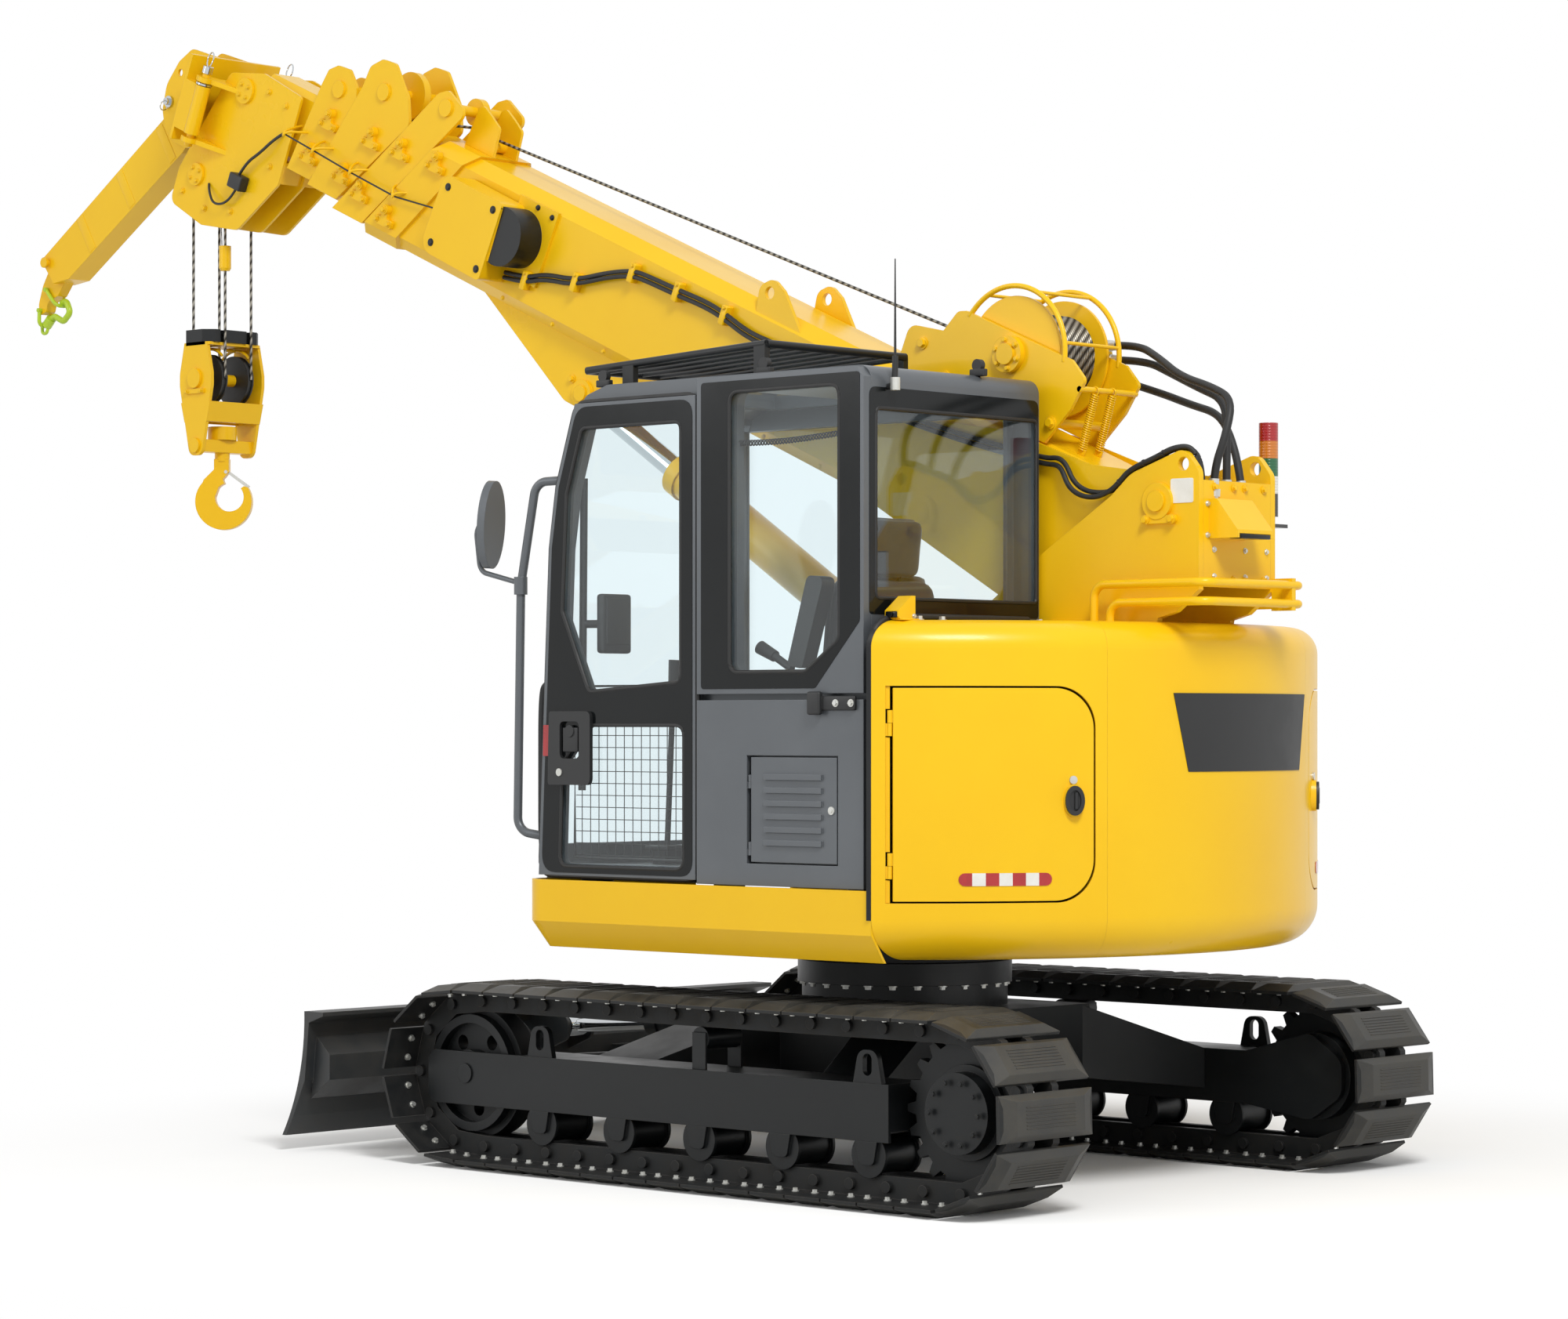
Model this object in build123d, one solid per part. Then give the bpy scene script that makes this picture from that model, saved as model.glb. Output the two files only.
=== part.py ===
"""Compact crawler crane: telescopic boom, winch and hook on a slewing house over two padded tracks.

The frame is +X forward, +Y to the machine's left, +Z up. The origin is on the ground under the slewing axis.
Sizes are in millimetres and degrees, and the machine stands with its boom in, raised as it travels.
"""

import math
import os

from build123d import *

# Crawler base
TRACK_GAUGE = 1870
SHOE_WIDTH = 450
TUMBLER_DISTANCE = 2220
LINK_PITCH = 154
LINK_COUNT = 39
RAIL_INSIDE = 35
RAIL_OUTSIDE = 36
RAIL_WIDTH = 30
RAIL_OFFSET = 60
SHOE_PLATE = 10
SHOE_GAP = 8
PAD_HEIGHT = 22
PAD_END_SLOPE = 62
PAD_SIDE_SLOPE = 20
FRAME_HALF_WIDTH = 100
FRAME_PLATE = 12
FRAME_LOW = 208
FRAME_TOP = 392
FRAME_FRONT = 1300
FRAME_REAR = -838
ROLLER_COUNT = 5
ROLLER_SPACING = 372
ROLLER_RADIUS = 60
ROLLER_FLANGE = 72
ROLLER_AXLE = 22
SPROCKET_TEETH = 21
DRIVE_RADIUS = 128
IDLER_AXLE = 34
RUNNING_GAP = 0.3
CARBODY_HALF_LENGTH = 480
CARBODY_HALF_WIDTH = 420
CARBODY_LOW = 300
CARBODY_TOP = 560
SLEW_RADIUS = 370
SLEW_LOW = 640
SLEW_TOP = 715

# Front blade
BLADE_WIDTH = 2320
BLADE_LIFT_CLEARANCE = 57
BLADE_HEIGHT = 447
BLADE_EDGE_X = 1936
BLADE_TOP_X = 1816
BLADE_PLATE = 14
BLADE_PIVOT_X = 660
BLADE_PIVOT_Z = 350
BLADE_ARM_Y = 330
BLADE_ARM_WIDTH = 90
BLADE_PIN_RADIUS = 25

# Revolving house
HOUSE_HALF_WIDTH = 1130
HOUSE_FRONT = 735
HOUSE_LOW = 781
HOUSE_TOP = 1850
COWL_FRONT = -850
HOUSE_RADIUS = math.hypot(COWL_FRONT, HOUSE_HALF_WIDTH)
COWL_WALL = 12
COWL_LOW_ROUND = 130
COWL_TOP_ROUND = 90
COUNTERWEIGHT_ANGLE = 22
COUNTERWEIGHT_DEPTH = 260
DOOR_GAP = 6
DOOR_LOW = 970
DOOR_TOP = 1636
DOOR_MIDDLE_ANGLE = 142.7
DOOR_HALF_WIDTH = 326
DOOR_ROUND = 130
SKIRT_LOW = 774
SKIRT_BEND = 862
SKIRT_TOP = 1002
SKIRT_TUCK = 60
SKIRT_WALL = 12
SKIRT_ROUND = 95
DECK_LOW = 880
DECK_TOP = 910

# Cab
CAB_LEFT = HOUSE_HALF_WIDTH - 15
CAB_RIGHT = 252
CAB_REAR = -805
CAB_FRONT = 661
CAB_FLOOR = 1005
CAB_ROOF = 2652
CAB_WALL = 45
GLASS = 6
DOOR_REAR_EDGE = -80
CAB_BELT = 1600

# Boom mounting and boom
BOOM_ANGLE = 23.5
BOOM_Y = 40
FOOT_X = -1294
FOOT_Z = 2236
FOOT_PIN_RADIUS = 45
BRACKET_PLATE = 25
BRACKET_GAP = 6
FOOT_CHEEK = 8
TUBE_MIDDLE = -237
BASE_WIDTH = 330
BASE_HEIGHT = 452
BASE_WALL = 9
STEP_WIDTH = 38
STEP_HEIGHT = 40
SECTION_WALL = 7
RUNNER_LENGTH = 140
PIN_CLEARANCE = 0.3


def outline(*corners):
    """A flat face through the corners given as (x, y), or as (x, y, radius) where the corner is round."""
    face = make_face(Polyline(*[corner[:2] for corner in corners], close=True))
    for x, y, radius in [corner for corner in corners if len(corner) == 3]:
        face = fillet(face.vertices().sort_by_distance((x, y, 0))[0], radius)
    return face


def across(face, y_from, y_to):
    """Extrudes a face drawn in X and Z sideways, between two Y values."""
    plane = Plane(origin=(0, y_from, 0), x_dir=(1, 0, 0), z_dir=(0, -1, 0))
    return extrude(plane * face, amount=y_to - y_from, dir=(0, 1, 0))


def upright(face, z_from, z_to):
    """Extrudes a face drawn in X and Y upwards, between two Z values."""
    return extrude(Plane.XY.offset(z_from) * face, amount=z_to - z_from)


def lengthwise(face, x_from, x_to):
    """Extrudes a face drawn in Y and Z forwards, between two X values."""
    plane = Plane(origin=(x_from, 0, 0), x_dir=(0, 1, 0), z_dir=(1, 0, 0))
    return extrude(plane * face, amount=x_to - x_from)


def block(x, y, z):
    """A box between two values on each axis."""
    size = [max(v) - min(v) for v in (x, y, z)]
    centre = [(v[0] + v[1]) / 2 for v in (x, y, z)]
    return Pos(*centre) * Box(*size)


def rod(start, end, radius):
    """A round bar between two points."""
    axis = Vector(*end) - Vector(*start)
    return extrude(Plane(origin=start, z_dir=axis) * Circle(radius), amount=axis.length)


def pipe(points, radius, bend):
    """A round bar along straight runs joined by tangent arcs."""
    path = FilletPolyline(*points, radius=bend)
    return sweep(Plane(origin=path @ 0, z_dir=path % 0) * Circle(radius), path=path)


def save(shapes, name):
    """Writes one node as a STEP file, with each of its solids closed."""
    solids = [solid for shape in shapes for solid in shape.solids()]
    export_step(Compound(children=solids) if len(solids) > 1 else solids[0], f"parts/{name}.step")


pitch_radius = (LINK_COUNT * LINK_PITCH - 2 * TUMBLER_DISTANCE) / (2 * math.pi)
tumbler_z = pitch_radius + RAIL_OUTSIDE + SHOE_PLATE + PAD_HEIGHT
roller_z = tumbler_z - pitch_radius + RAIL_INSIDE + ROLLER_RADIUS + RUNNING_GAP
frame_inner_y = TRACK_GAUGE / 2 - FRAME_HALF_WIDTH


def loop_point(distance):
    """A point of the track's pitch line, in X and Z from the middle of the loop."""
    arc = math.pi * pitch_radius
    half = TUMBLER_DISTANCE / 2
    distance = distance % (2 * TUMBLER_DISTANCE + 2 * arc)
    if distance < TUMBLER_DISTANCE:
        return half - distance, -pitch_radius
    distance -= TUMBLER_DISTANCE
    if distance < arc:
        turn = -math.pi / 2 - distance / pitch_radius
        return -half + pitch_radius * math.cos(turn), pitch_radius * math.sin(turn)
    distance -= arc
    if distance < TUMBLER_DISTANCE:
        return -half + distance, pitch_radius
    turn = math.pi / 2 - (distance - TUMBLER_DISTANCE) / pitch_radius
    return half + pitch_radius * math.cos(turn), pitch_radius * math.sin(turn)


def shoe():
    """One steel shoe with its rubber pad, bevelled at the ends, standing on its plate's underside."""
    length = LINK_PITCH - SHOE_GAP
    plate = Pos(0, 0, SHOE_PLATE / 2) * Box(length, SHOE_WIDTH, SHOE_PLATE)
    foot = Plane.XY.offset(SHOE_PLATE) * Rectangle(length, SHOE_WIDTH)
    tread = Rectangle(length - 2 * PAD_SIDE_SLOPE, SHOE_WIDTH - 2 * PAD_END_SLOPE)
    return plate + loft([foot, Plane.XY.offset(SHOE_PLATE + PAD_HEIGHT) * tread])


def track(side):
    """The closed loop of links and shoes on one side."""
    joints = [loop_point((i + 0.5) * LINK_PITCH) for i in range(LINK_COUNT)]
    loop = make_face(Polyline(*joints, close=True))
    ring = offset(loop, RAIL_OUTSIDE, kind=Kind.INTERSECTION)
    ring -= offset(loop, -RAIL_INSIDE, kind=Kind.INTERSECTION)
    pieces = [across(ring, y - RAIL_WIDTH / 2, y + RAIL_WIDTH / 2) for y in (-RAIL_OFFSET, RAIL_OFFSET)]
    one_shoe = shoe()
    for (x0, z0), (x1, z1) in zip(joints, joints[1:] + joints[:1]):
        along = Vector(x1 - x0, 0, z1 - z0).normalized()
        outward = along.cross(Vector(0, 1, 0))
        if outward.dot(Vector((x0 + x1) / 2 * 0.02, 0, (z0 + z1) / 2)) < 0:
            outward = outward * -1
        seat = Vector((x0 + x1) / 2, 0, (z0 + z1) / 2) + outward * RAIL_OUTSIDE
        pieces.append(Plane(origin=seat, x_dir=along, z_dir=outward).location * one_shoe)
    return Pos(0, side * TRACK_GAUGE / 2, tumbler_z) * pieces[0].fuse(*pieces[1:])


def track_frame(side):
    """The channel that carries the rollers, with the idler's fork in front and the drive's plate behind."""
    half = FRAME_HALF_WIDTH
    box_front = TUMBLER_DISTANCE / 2 - pitch_radius - 10
    cheek = outline((FRAME_REAR, FRAME_LOW), (FRAME_FRONT, FRAME_LOW, 40), (FRAME_FRONT, FRAME_TOP, 40),
                    (FRAME_REAR, FRAME_TOP))
    frame = across(cheek, half - FRAME_PLATE, half) + across(cheek, -half, FRAME_PLATE - half)
    frame += block((FRAME_REAR, box_front), (-half, half), (FRAME_TOP - FRAME_PLATE, FRAME_TOP))
    frame += block((box_front - FRAME_PLATE, box_front), (-half, half),
                   (roller_z + ROLLER_FLANGE + 8, FRAME_TOP))
    drive = outline((FRAME_REAR, FRAME_LOW), (FRAME_REAR, FRAME_TOP),
                    (-TUMBLER_DISTANCE / 2, tumbler_z + 150, 60),
                    (-TUMBLER_DISTANCE / 2 - 130, tumbler_z + 60, 60),
                    (-TUMBLER_DISTANCE / 2 - 130, tumbler_z - 60, 60),
                    (-TUMBLER_DISTANCE / 2, tumbler_z - 150, 60))
    frame += across(drive, -half, -half + 25)
    frame += block((FRAME_REAR, FRAME_REAR + FRAME_PLATE), (-half, half),
                   (roller_z + ROLLER_FLANGE + 8, FRAME_TOP))
    for x in (745, -745):
        eye = outline((x - 60, FRAME_TOP), (x + 60, FRAME_TOP), (x + 38, FRAME_TOP + 105, 36),
                      (x - 38, FRAME_TOP + 105, 36))
        eye -= Pos(x, FRAME_TOP + 58) * SlotOverall(70, 38, rotation=90)
        frame += across(eye, half - 25, half - 5)
    frame -= rod((TUMBLER_DISTANCE / 2, -half, tumbler_z), (TUMBLER_DISTANCE / 2, half, tumbler_z),
                 IDLER_AXLE)
    return Pos(0, side * TRACK_GAUGE / 2, 0) * (frame if side > 0 else mirror(frame, about=Plane.XZ))


def rollers(side):
    """The lower rollers with the blocks that hang them, and one carrier roller under the upper run."""
    half = FRAME_HALF_WIDTH
    solids = []
    for i in range(ROLLER_COUNT):
        x = (i - (ROLLER_COUNT - 1) / 2) * ROLLER_SPACING
        roller = rod((x, -half + FRAME_PLATE, roller_z), (x, half - FRAME_PLATE, roller_z), ROLLER_RADIUS)
        for end in (-1, 1):
            roller += rod((x, end * (half - FRAME_PLATE), roller_z),
                          (x, end * (half - FRAME_PLATE - 11), roller_z),
                          ROLLER_FLANGE)
            hanger = outline((x - 45, FRAME_LOW), (x + 45, FRAME_LOW), (x + 30, roller_z - 30, 20),
                             (x - 30, roller_z - 30, 20))
            roller += across(hanger, *sorted((end * (half - FRAME_PLATE), end * half)))
        solids.append(roller)
    carrier_radius = 38
    top = tumbler_z + pitch_radius - RAIL_INSIDE - RUNNING_GAP - carrier_radius
    carrier = rod((0, -80, top), (0, 80, top), carrier_radius)
    for y in (-88, 80):
        carrier += block((-30, 30), (y, y + 8), (FRAME_TOP, top + 20))
    solids.append(carrier)
    return [Pos(0, side * TRACK_GAUGE / 2, 0) * solid for solid in solids]


def idler(side):
    """The front wheel, which runs on the rails with a flange between them."""
    tread = pitch_radius * math.cos(LINK_PITCH / 2 / pitch_radius) - RAIL_INSIDE - RUNNING_GAP
    x = TUMBLER_DISTANCE / 2
    wheel = rod((x, -75, tumbler_z), (x, 75, tumbler_z), tread)
    wheel += rod((x, -40, tumbler_z), (x, 40, tumbler_z), tread + 24)
    for end in (-1, 1):
        wheel -= rod((x, end * 40, tumbler_z), (x, end * 76, tumbler_z), tread - 30)
        wheel += rod((x, 0, tumbler_z), (x, end * (FRAME_HALF_WIDTH - FRAME_PLATE - 1), tumbler_z), 80)
        wheel += rod((x, 0, tumbler_z), (x, end * (FRAME_HALF_WIDTH + 6), tumbler_z), IDLER_AXLE)
    for turn in range(5):
        spot = Rot(0, 72 * turn + 20, 0) * Pos(0.62 * tread, 0, 0)
        hole = rod((0, -80, 0), (0, 80, 0), 26)
        wheel -= Pos(x, 0, tumbler_z) * spot * hole
    return Pos(0, side * TRACK_GAUGE / 2, 0) * wheel


def sprocket(side):
    """The rear toothed wheel on its final drive, with the plain cover outside."""
    root = pitch_radius - 22
    half = FRAME_HALF_WIDTH
    wheel = rod((0, -20, 0), (0, 20, 0), root)
    tooth = across(outline((root - 15, -26), (root + 34, -11), (root + 34, 11), (root - 15, 26)), -20, 20)
    wheel = wheel.fuse(*[Rot(0, turn * 360 / SPROCKET_TEETH, 0) * tooth for turn in range(SPROCKET_TEETH)])
    wheel += rod((0, -half + 25, 0), (0, 40, 0), DRIVE_RADIUS + 22)
    wheel += rod((0, 40, 0), (0, half - 8, 0), DRIVE_RADIUS)
    wheel = Pos(-TUMBLER_DISTANCE / 2, 0, tumbler_z) * wheel
    return Pos(0, side * TRACK_GAUGE / 2, 0) * (wheel if side > 0 else mirror(wheel, about=Plane.XZ))


def car_body():
    """The middle box, its four legs out to the track frames, and the blade's lugs in front."""
    length, width = CARBODY_HALF_LENGTH, CARBODY_HALF_WIDTH
    body = block((-length, length), (-width, width), (CARBODY_LOW, CARBODY_TOP))
    body += rod((0, 0, CARBODY_TOP), (0, 0, SLEW_LOW), SLEW_RADIUS - 15)
    for end in (-1, 1):
        for side in (-1, 1):
            inner = Plane(origin=(end * 330, side * (width - 40), 430), x_dir=(1, 0, 0), z_dir=(0, side, 0))
            outer = Plane(origin=(end * 520, side * frame_inner_y, 322), x_dir=(1, 0, 0), z_dir=(0, side, 0))
            body += loft([inner * Rectangle(300, 250), outer * Rectangle(280, 138)])
    return body + blade_lugs()


def blade_lugs():
    """Pairs of plates on the car body's front that hold the blade's arms and its cylinder."""
    plates = Part()
    for side in (-1, 1):
        for y in (side * BLADE_ARM_Y - 62, side * BLADE_ARM_Y + 48):
            ear = outline((CARBODY_HALF_LENGTH, 305), (BLADE_PIVOT_X + 45, 305, 40),
                          (BLADE_PIVOT_X + 45, 395, 40),
                          (CARBODY_HALF_LENGTH, 480))
            plates += across(ear, y, y + 14)
        plates += rod((BLADE_PIVOT_X, side * BLADE_ARM_Y - 62, BLADE_PIVOT_Z),
                      (BLADE_PIVOT_X, side * BLADE_ARM_Y + 62, BLADE_PIVOT_Z), BLADE_PIN_RADIUS)
    for y in (-68, 54):
        ear = outline((CARBODY_HALF_LENGTH, 430), (blade_foot[0] + 40, 440, 30),
                      (blade_foot[0] + 40, 520, 30),
                      (CARBODY_HALF_LENGTH, 550))
        plates += across(ear, y, y + 14)
    return plates + rod((blade_foot[0], -68, blade_foot[1]), (blade_foot[0], 68, blade_foot[1]),
                        BLADE_PIN_RADIUS)


def slew_ring():
    """The bearing's outer ring on the car body."""
    return rod((0, 0, SLEW_LOW), (0, 0, SLEW_TOP), SLEW_RADIUS)


blade_foot = (600, 480)
blade_eye = (1640, 400)
BLADE_BORE_LENGTH = 620


def blade():
    """The curved plate with its stiffeners, its two arms and the cylinder's ear."""
    low, top = BLADE_LIFT_CLEARANCE, BLADE_LIFT_CLEARANCE + BLADE_HEIGHT
    face = Spline((BLADE_EDGE_X, low), (BLADE_EDGE_X - 78, low + 0.37 * BLADE_HEIGHT), (BLADE_TOP_X, top))
    back = Line((BLADE_TOP_X, top), (BLADE_TOP_X - 100, top))
    rear = Polyline((BLADE_TOP_X - 100, top), (BLADE_TOP_X - 100, top - BLADE_PLATE),
                    (BLADE_TOP_X - 24, top - 40),
                    (BLADE_TOP_X - 2, low + 0.45 * BLADE_HEIGHT), (BLADE_EDGE_X - 60, low + 70),
                    (BLADE_EDGE_X - 22, low), (BLADE_EDGE_X, low))
    section = make_face(Wire([face, back, *rear.edges()]))
    plate = across(section, -BLADE_WIDTH / 2, BLADE_WIDTH / 2)
    rib = outline((BLADE_TOP_X - 20, low + 0.8 * BLADE_HEIGHT), (BLADE_TOP_X - 90, low + 0.66 * BLADE_HEIGHT),
                  (BLADE_TOP_X - 90, low + 0.46 * BLADE_HEIGHT), (BLADE_TOP_X + 10, low + 0.3 * BLADE_HEIGHT))
    plate += across(rib, -BLADE_WIDTH / 2 + 40, BLADE_WIDTH / 2 - 40)
    for side in (-1, 1):
        y = side * BLADE_ARM_Y
        arm = outline((BLADE_PIVOT_X - 45, BLADE_PIVOT_Z - 45, 40), (BLADE_TOP_X, low + 80),
                      (BLADE_TOP_X, low + 250),
                      (1450, 320), (BLADE_PIVOT_X - 45, BLADE_PIVOT_Z + 45, 40))
        bar = across(arm, y - BLADE_ARM_WIDTH / 2, y + BLADE_ARM_WIDTH / 2)
        bore = rod((BLADE_PIVOT_X, y - 100, BLADE_PIVOT_Z), (BLADE_PIVOT_X, y + 100, BLADE_PIVOT_Z),
                   BLADE_PIN_RADIUS + PIN_CLEARANCE)
        plate += bar - bore
    for y in (-68, 54):
        ear = outline((blade_eye[0] - 42, blade_eye[1] - 42, 40), (BLADE_TOP_X, blade_eye[1] - 130),
                      (BLADE_TOP_X, blade_eye[1] + 60), (blade_eye[0] - 42, blade_eye[1] + 42, 40))
        plate += across(ear, y, y + 14)
    return plate


def cylinder_barrel(foot, eye, length, radius, eye_radius, pin_radius, eye_width):
    """A cylinder's barrel from its foot's eye towards the rod's eye, open at the gland for the rod."""
    axis = (Vector(eye[0], 0, eye[1]) - Vector(foot[0], 0, foot[1])).normalized()
    start = Vector(foot[0], 0, foot[1])
    barrel = rod(start + axis * eye_radius * 0.8, start + axis * length, radius)
    barrel += rod(start + axis * (length - 55), start + axis * length, radius + 8)
    barrel += rod((foot[0], -eye_width / 2, foot[1]), (foot[0], eye_width / 2, foot[1]), eye_radius)
    return barrel - rod((foot[0], -eye_width, foot[1]), (foot[0], eye_width, foot[1]),
                        pin_radius + PIN_CLEARANCE)


def cylinder_rod(foot, eye, inside, radius, eye_radius, pin_radius, eye_width):
    """A cylinder's rod from inside the barrel to its eye, which is left open between the ears."""
    axis = (Vector(eye[0], 0, eye[1]) - Vector(foot[0], 0, foot[1])).normalized()
    end = Vector(eye[0], 0, eye[1])
    bar = rod(Vector(foot[0], 0, foot[1]) + axis * inside, end - axis * eye_radius * 0.8, radius)
    bar += rod((eye[0], -eye_width / 2, eye[1]), (eye[0], eye_width / 2, eye[1]), eye_radius)
    return bar - rod((eye[0], -eye_width, eye[1]), (eye[0], eye_width, eye[1]), pin_radius)


def bored(barrel, foot, eye, start, radius):
    """The barrel with its bore opened for the rod."""
    axis = (Vector(eye[0], 0, eye[1]) - Vector(foot[0], 0, foot[1])).normalized()
    origin = Vector(foot[0], 0, foot[1])
    return barrel - rod(origin + axis * start, origin + axis * 5000, radius + PIN_CLEARANCE)


def house_solid(inset):
    """The round rear body about the slewing axis, drawn in by the inset on every side."""
    radius = HOUSE_RADIUS - inset
    profile = outline((0, HOUSE_LOW + inset), (radius, HOUSE_LOW + inset, COWL_LOW_ROUND - inset),
                      (radius, HOUSE_TOP - inset, COWL_TOP_ROUND - inset), (0, HOUSE_TOP - inset))
    return revolve(Plane.XZ * profile, Axis.Z)


def rear_wedge():
    """The slice of the rear body that the counterweight fills."""
    reach = 2 * HOUSE_RADIUS
    spread = reach * math.tan(math.radians(COUNTERWEIGHT_ANGLE))
    return upright(make_face(Polyline((0, 0), (-reach, spread), (-reach, -spread), close=True)), 0, 3000)


def counterweight():
    """The thick casting across the rear."""
    core = rod((0, 0, 0), (0, 0, 3000), HOUSE_RADIUS - COUNTERWEIGHT_DEPTH)
    return (house_solid(0) & rear_wedge()) - core - rod((0, 0, HOUSE_TOP - COWL_WALL), (0, 0, 3000),
                                                          HOUSE_RADIUS - COWL_TOP_ROUND)


def door_plane():
    """The plane tangent to the rear body at the middle of the left service door."""
    turn = math.radians(DOOR_MIDDLE_ANGLE)
    return Plane(origin=(0, 0, 0), x_dir=(-math.sin(turn), math.cos(turn), 0),
                 z_dir=(math.cos(turn), math.sin(turn), 0))


def door_cut(front, gap):
    """A solid through the rear body with the service door's outline."""
    face = outline((front, DOOR_LOW - gap), (DOOR_HALF_WIDTH + gap, DOOR_LOW - gap, DOOR_ROUND),
                   (DOOR_HALF_WIDTH + gap, DOOR_TOP + gap, DOOR_ROUND), (front, DOOR_TOP + gap))
    return extrude(door_plane() * face, amount=2 * HOUSE_RADIUS)


HINGE_BARREL = 8
HINGE_PIN = 5
HINGE_LENGTH = 40
door_spread = math.asin(DOOR_HALF_WIDTH / (HOUSE_RADIUS - HINGE_BARREL))
door_hinge_angle = math.radians(DOOR_MIDDLE_ANGLE) - door_spread
door_hinge_x = (HOUSE_RADIUS - HINGE_BARREL) * math.cos(door_hinge_angle)
door_hinge_y = (HOUSE_RADIUS - HINGE_BARREL) * math.sin(door_hinge_angle)


def hinge_place(z):
    """A frame on the door's hinge line, X along the skin towards the rear and Z outwards."""
    outward = (math.cos(door_hinge_angle), math.sin(door_hinge_angle), 0)
    along = (-math.sin(door_hinge_angle), math.cos(door_hinge_angle), 0)
    return Plane(origin=(door_hinge_x, door_hinge_y, z), x_dir=along, z_dir=outward).location


def cowl(side):
    """The sheet body round one rear quarter, open where its service door hangs."""
    shell = house_solid(0) - house_solid(COWL_WALL)
    shell -= rod((0, 0, HOUSE_TOP - 2 * COWL_WALL), (0, 0, 3000), HOUSE_RADIUS - COWL_TOP_ROUND)
    shell -= rod((0, 0, 0), (0, 0, HOUSE_LOW + 100), HOUSE_RADIUS - COWL_LOW_ROUND - 20)
    quarter = block((-1500, COWL_FRONT), (0, 1500), (0, 3000)) - rear_wedge()
    shell = (shell & quarter) - door_cut(-DOOR_HALF_WIDTH - 14, DOOR_GAP)
    for z in (DOOR_LOW + 110, DOOR_TOP - 110):
        place = hinge_place(z)
        knuckle = place * (Rot(90, 0, 0) * Pos(0, 0, HINGE_LENGTH / 2 + 0.5)
                           * Cylinder(HINGE_BARREL, HINGE_LENGTH))
        leaf = place * (Pos(-12, -HINGE_LENGTH / 2 - 0.5, 0) * Box(24, HINGE_LENGTH, 8))
        pin = place * (Rot(90, 0, 0) * Cylinder(HINGE_PIN, 2 * HINGE_LENGTH))
        shell += knuckle + leaf + pin
    return shell if side > 0 else mirror(shell, about=Plane.XZ)


def service_door(side):
    """The curved side door with its two hinge knuckles and its catch's oval plate."""
    skin = house_solid(0) - house_solid(COWL_WALL)
    door = skin & door_cut(-DOOR_HALF_WIDTH + HINGE_BARREL + 1, 0)
    for z in (DOOR_LOW + 110, DOOR_TOP - 110):
        place = hinge_place(z)
        knuckle = place * (Rot(90, 0, 0) * Pos(0, 0, -HINGE_LENGTH / 2 - 0.5)
                           * Cylinder(HINGE_BARREL, HINGE_LENGTH))
        leaf = place * (Pos(9, HINGE_LENGTH / 2 + 0.5, 0) * Box(18, HINGE_LENGTH, 8))
        bore = place * (Rot(90, 0, 0) * Cylinder(HINGE_PIN + PIN_CLEARANCE, 4 * HINGE_LENGTH))
        door = door + (knuckle + leaf) - bore
    grip = door_plane() * (Pos(DOOR_HALF_WIDTH - 68, (DOOR_LOW + DOOR_TOP) / 2 - 20) * Ellipse(34, 52))
    reach = math.sqrt(HOUSE_RADIUS ** 2 - (DOOR_HALF_WIDTH - 68) ** 2)
    door += Pos(*(door_plane().z_dir * (reach - COWL_WALL))) * extrude(grip, amount=COWL_WALL + 12)
    return door if side > 0 else mirror(door, about=Plane.XZ)


def hood_top():
    """The flat lid over the engine bay, slotted for the boom's mounting."""
    lid = upright(Circle(HOUSE_RADIUS - COWL_TOP_ROUND), HOUSE_TOP - COWL_WALL, HOUSE_TOP)
    lid = lid & block((-1500, COWL_FRONT), (-1500, 1500), (0, 3000))
    slot = bracket_half + BRACKET_PLATE
    return lid - block((-1500, COWL_FRONT), (BOOM_Y - slot, BOOM_Y + slot), (0, 3000))


def firewall(side):
    """The upright plate that closes the engine bay in front, on one side of the boom's mounting."""
    edge = BOOM_Y + side * (bracket_half + BRACKET_PLATE)
    body = house_solid(0) & block((COWL_FRONT, COWL_FRONT + COWL_WALL), (-1500, 1500), (DECK_TOP, 3000))
    return (body & block((-1500, 0), (edge, side * 1500), (0, 3000))) - skirt(side)


def deck():
    """The revolving frame's plate with the bearing's inner boss under it."""
    plan = Circle(HOUSE_RADIUS - 60) & (Pos(-700, 0) * Rectangle(1400, 2 * HOUSE_HALF_WIDTH - 2 * SKIRT_WALL))
    front = (COWL_FRONT + HOUSE_FRONT - SKIRT_WALL) / 2
    plan += Pos(front, 0) * RectangleRounded(HOUSE_FRONT - SKIRT_WALL - COWL_FRONT,
                                             2 * (HOUSE_HALF_WIDTH - SKIRT_WALL), SKIRT_ROUND)
    plan += Pos(-600, 0) * Rectangle(700, 2 * (HOUSE_HALF_WIDTH - SKIRT_WALL) - 260)
    plate = upright(plan, DECK_LOW, DECK_TOP)
    plate = plate & (house_solid(COWL_WALL) + block((COWL_FRONT, 1000), (-1200, 1200), (0, 3000)))
    plate += rod((0, 0, SLEW_TOP + RUNNING_GAP), (0, 0, DECK_LOW), SLEW_RADIUS - 30)
    for y in (BOOM_Y - bracket_half - BRACKET_PLATE / 2, BOOM_Y + bracket_half + BRACKET_PLATE / 2):
        plate += block((-1100, 560), (y - 20, y + 20), (DECK_LOW - 90, DECK_LOW))
    for x in (CAB_REAR + 110, CAB_FRONT - 150):
        for y in (CAB_RIGHT + 90, CAB_LEFT - 130):
            plate += rod((x, y, DECK_TOP), (x, y, CAB_FLOOR), 55)
    return plate - counterweight()


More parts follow.
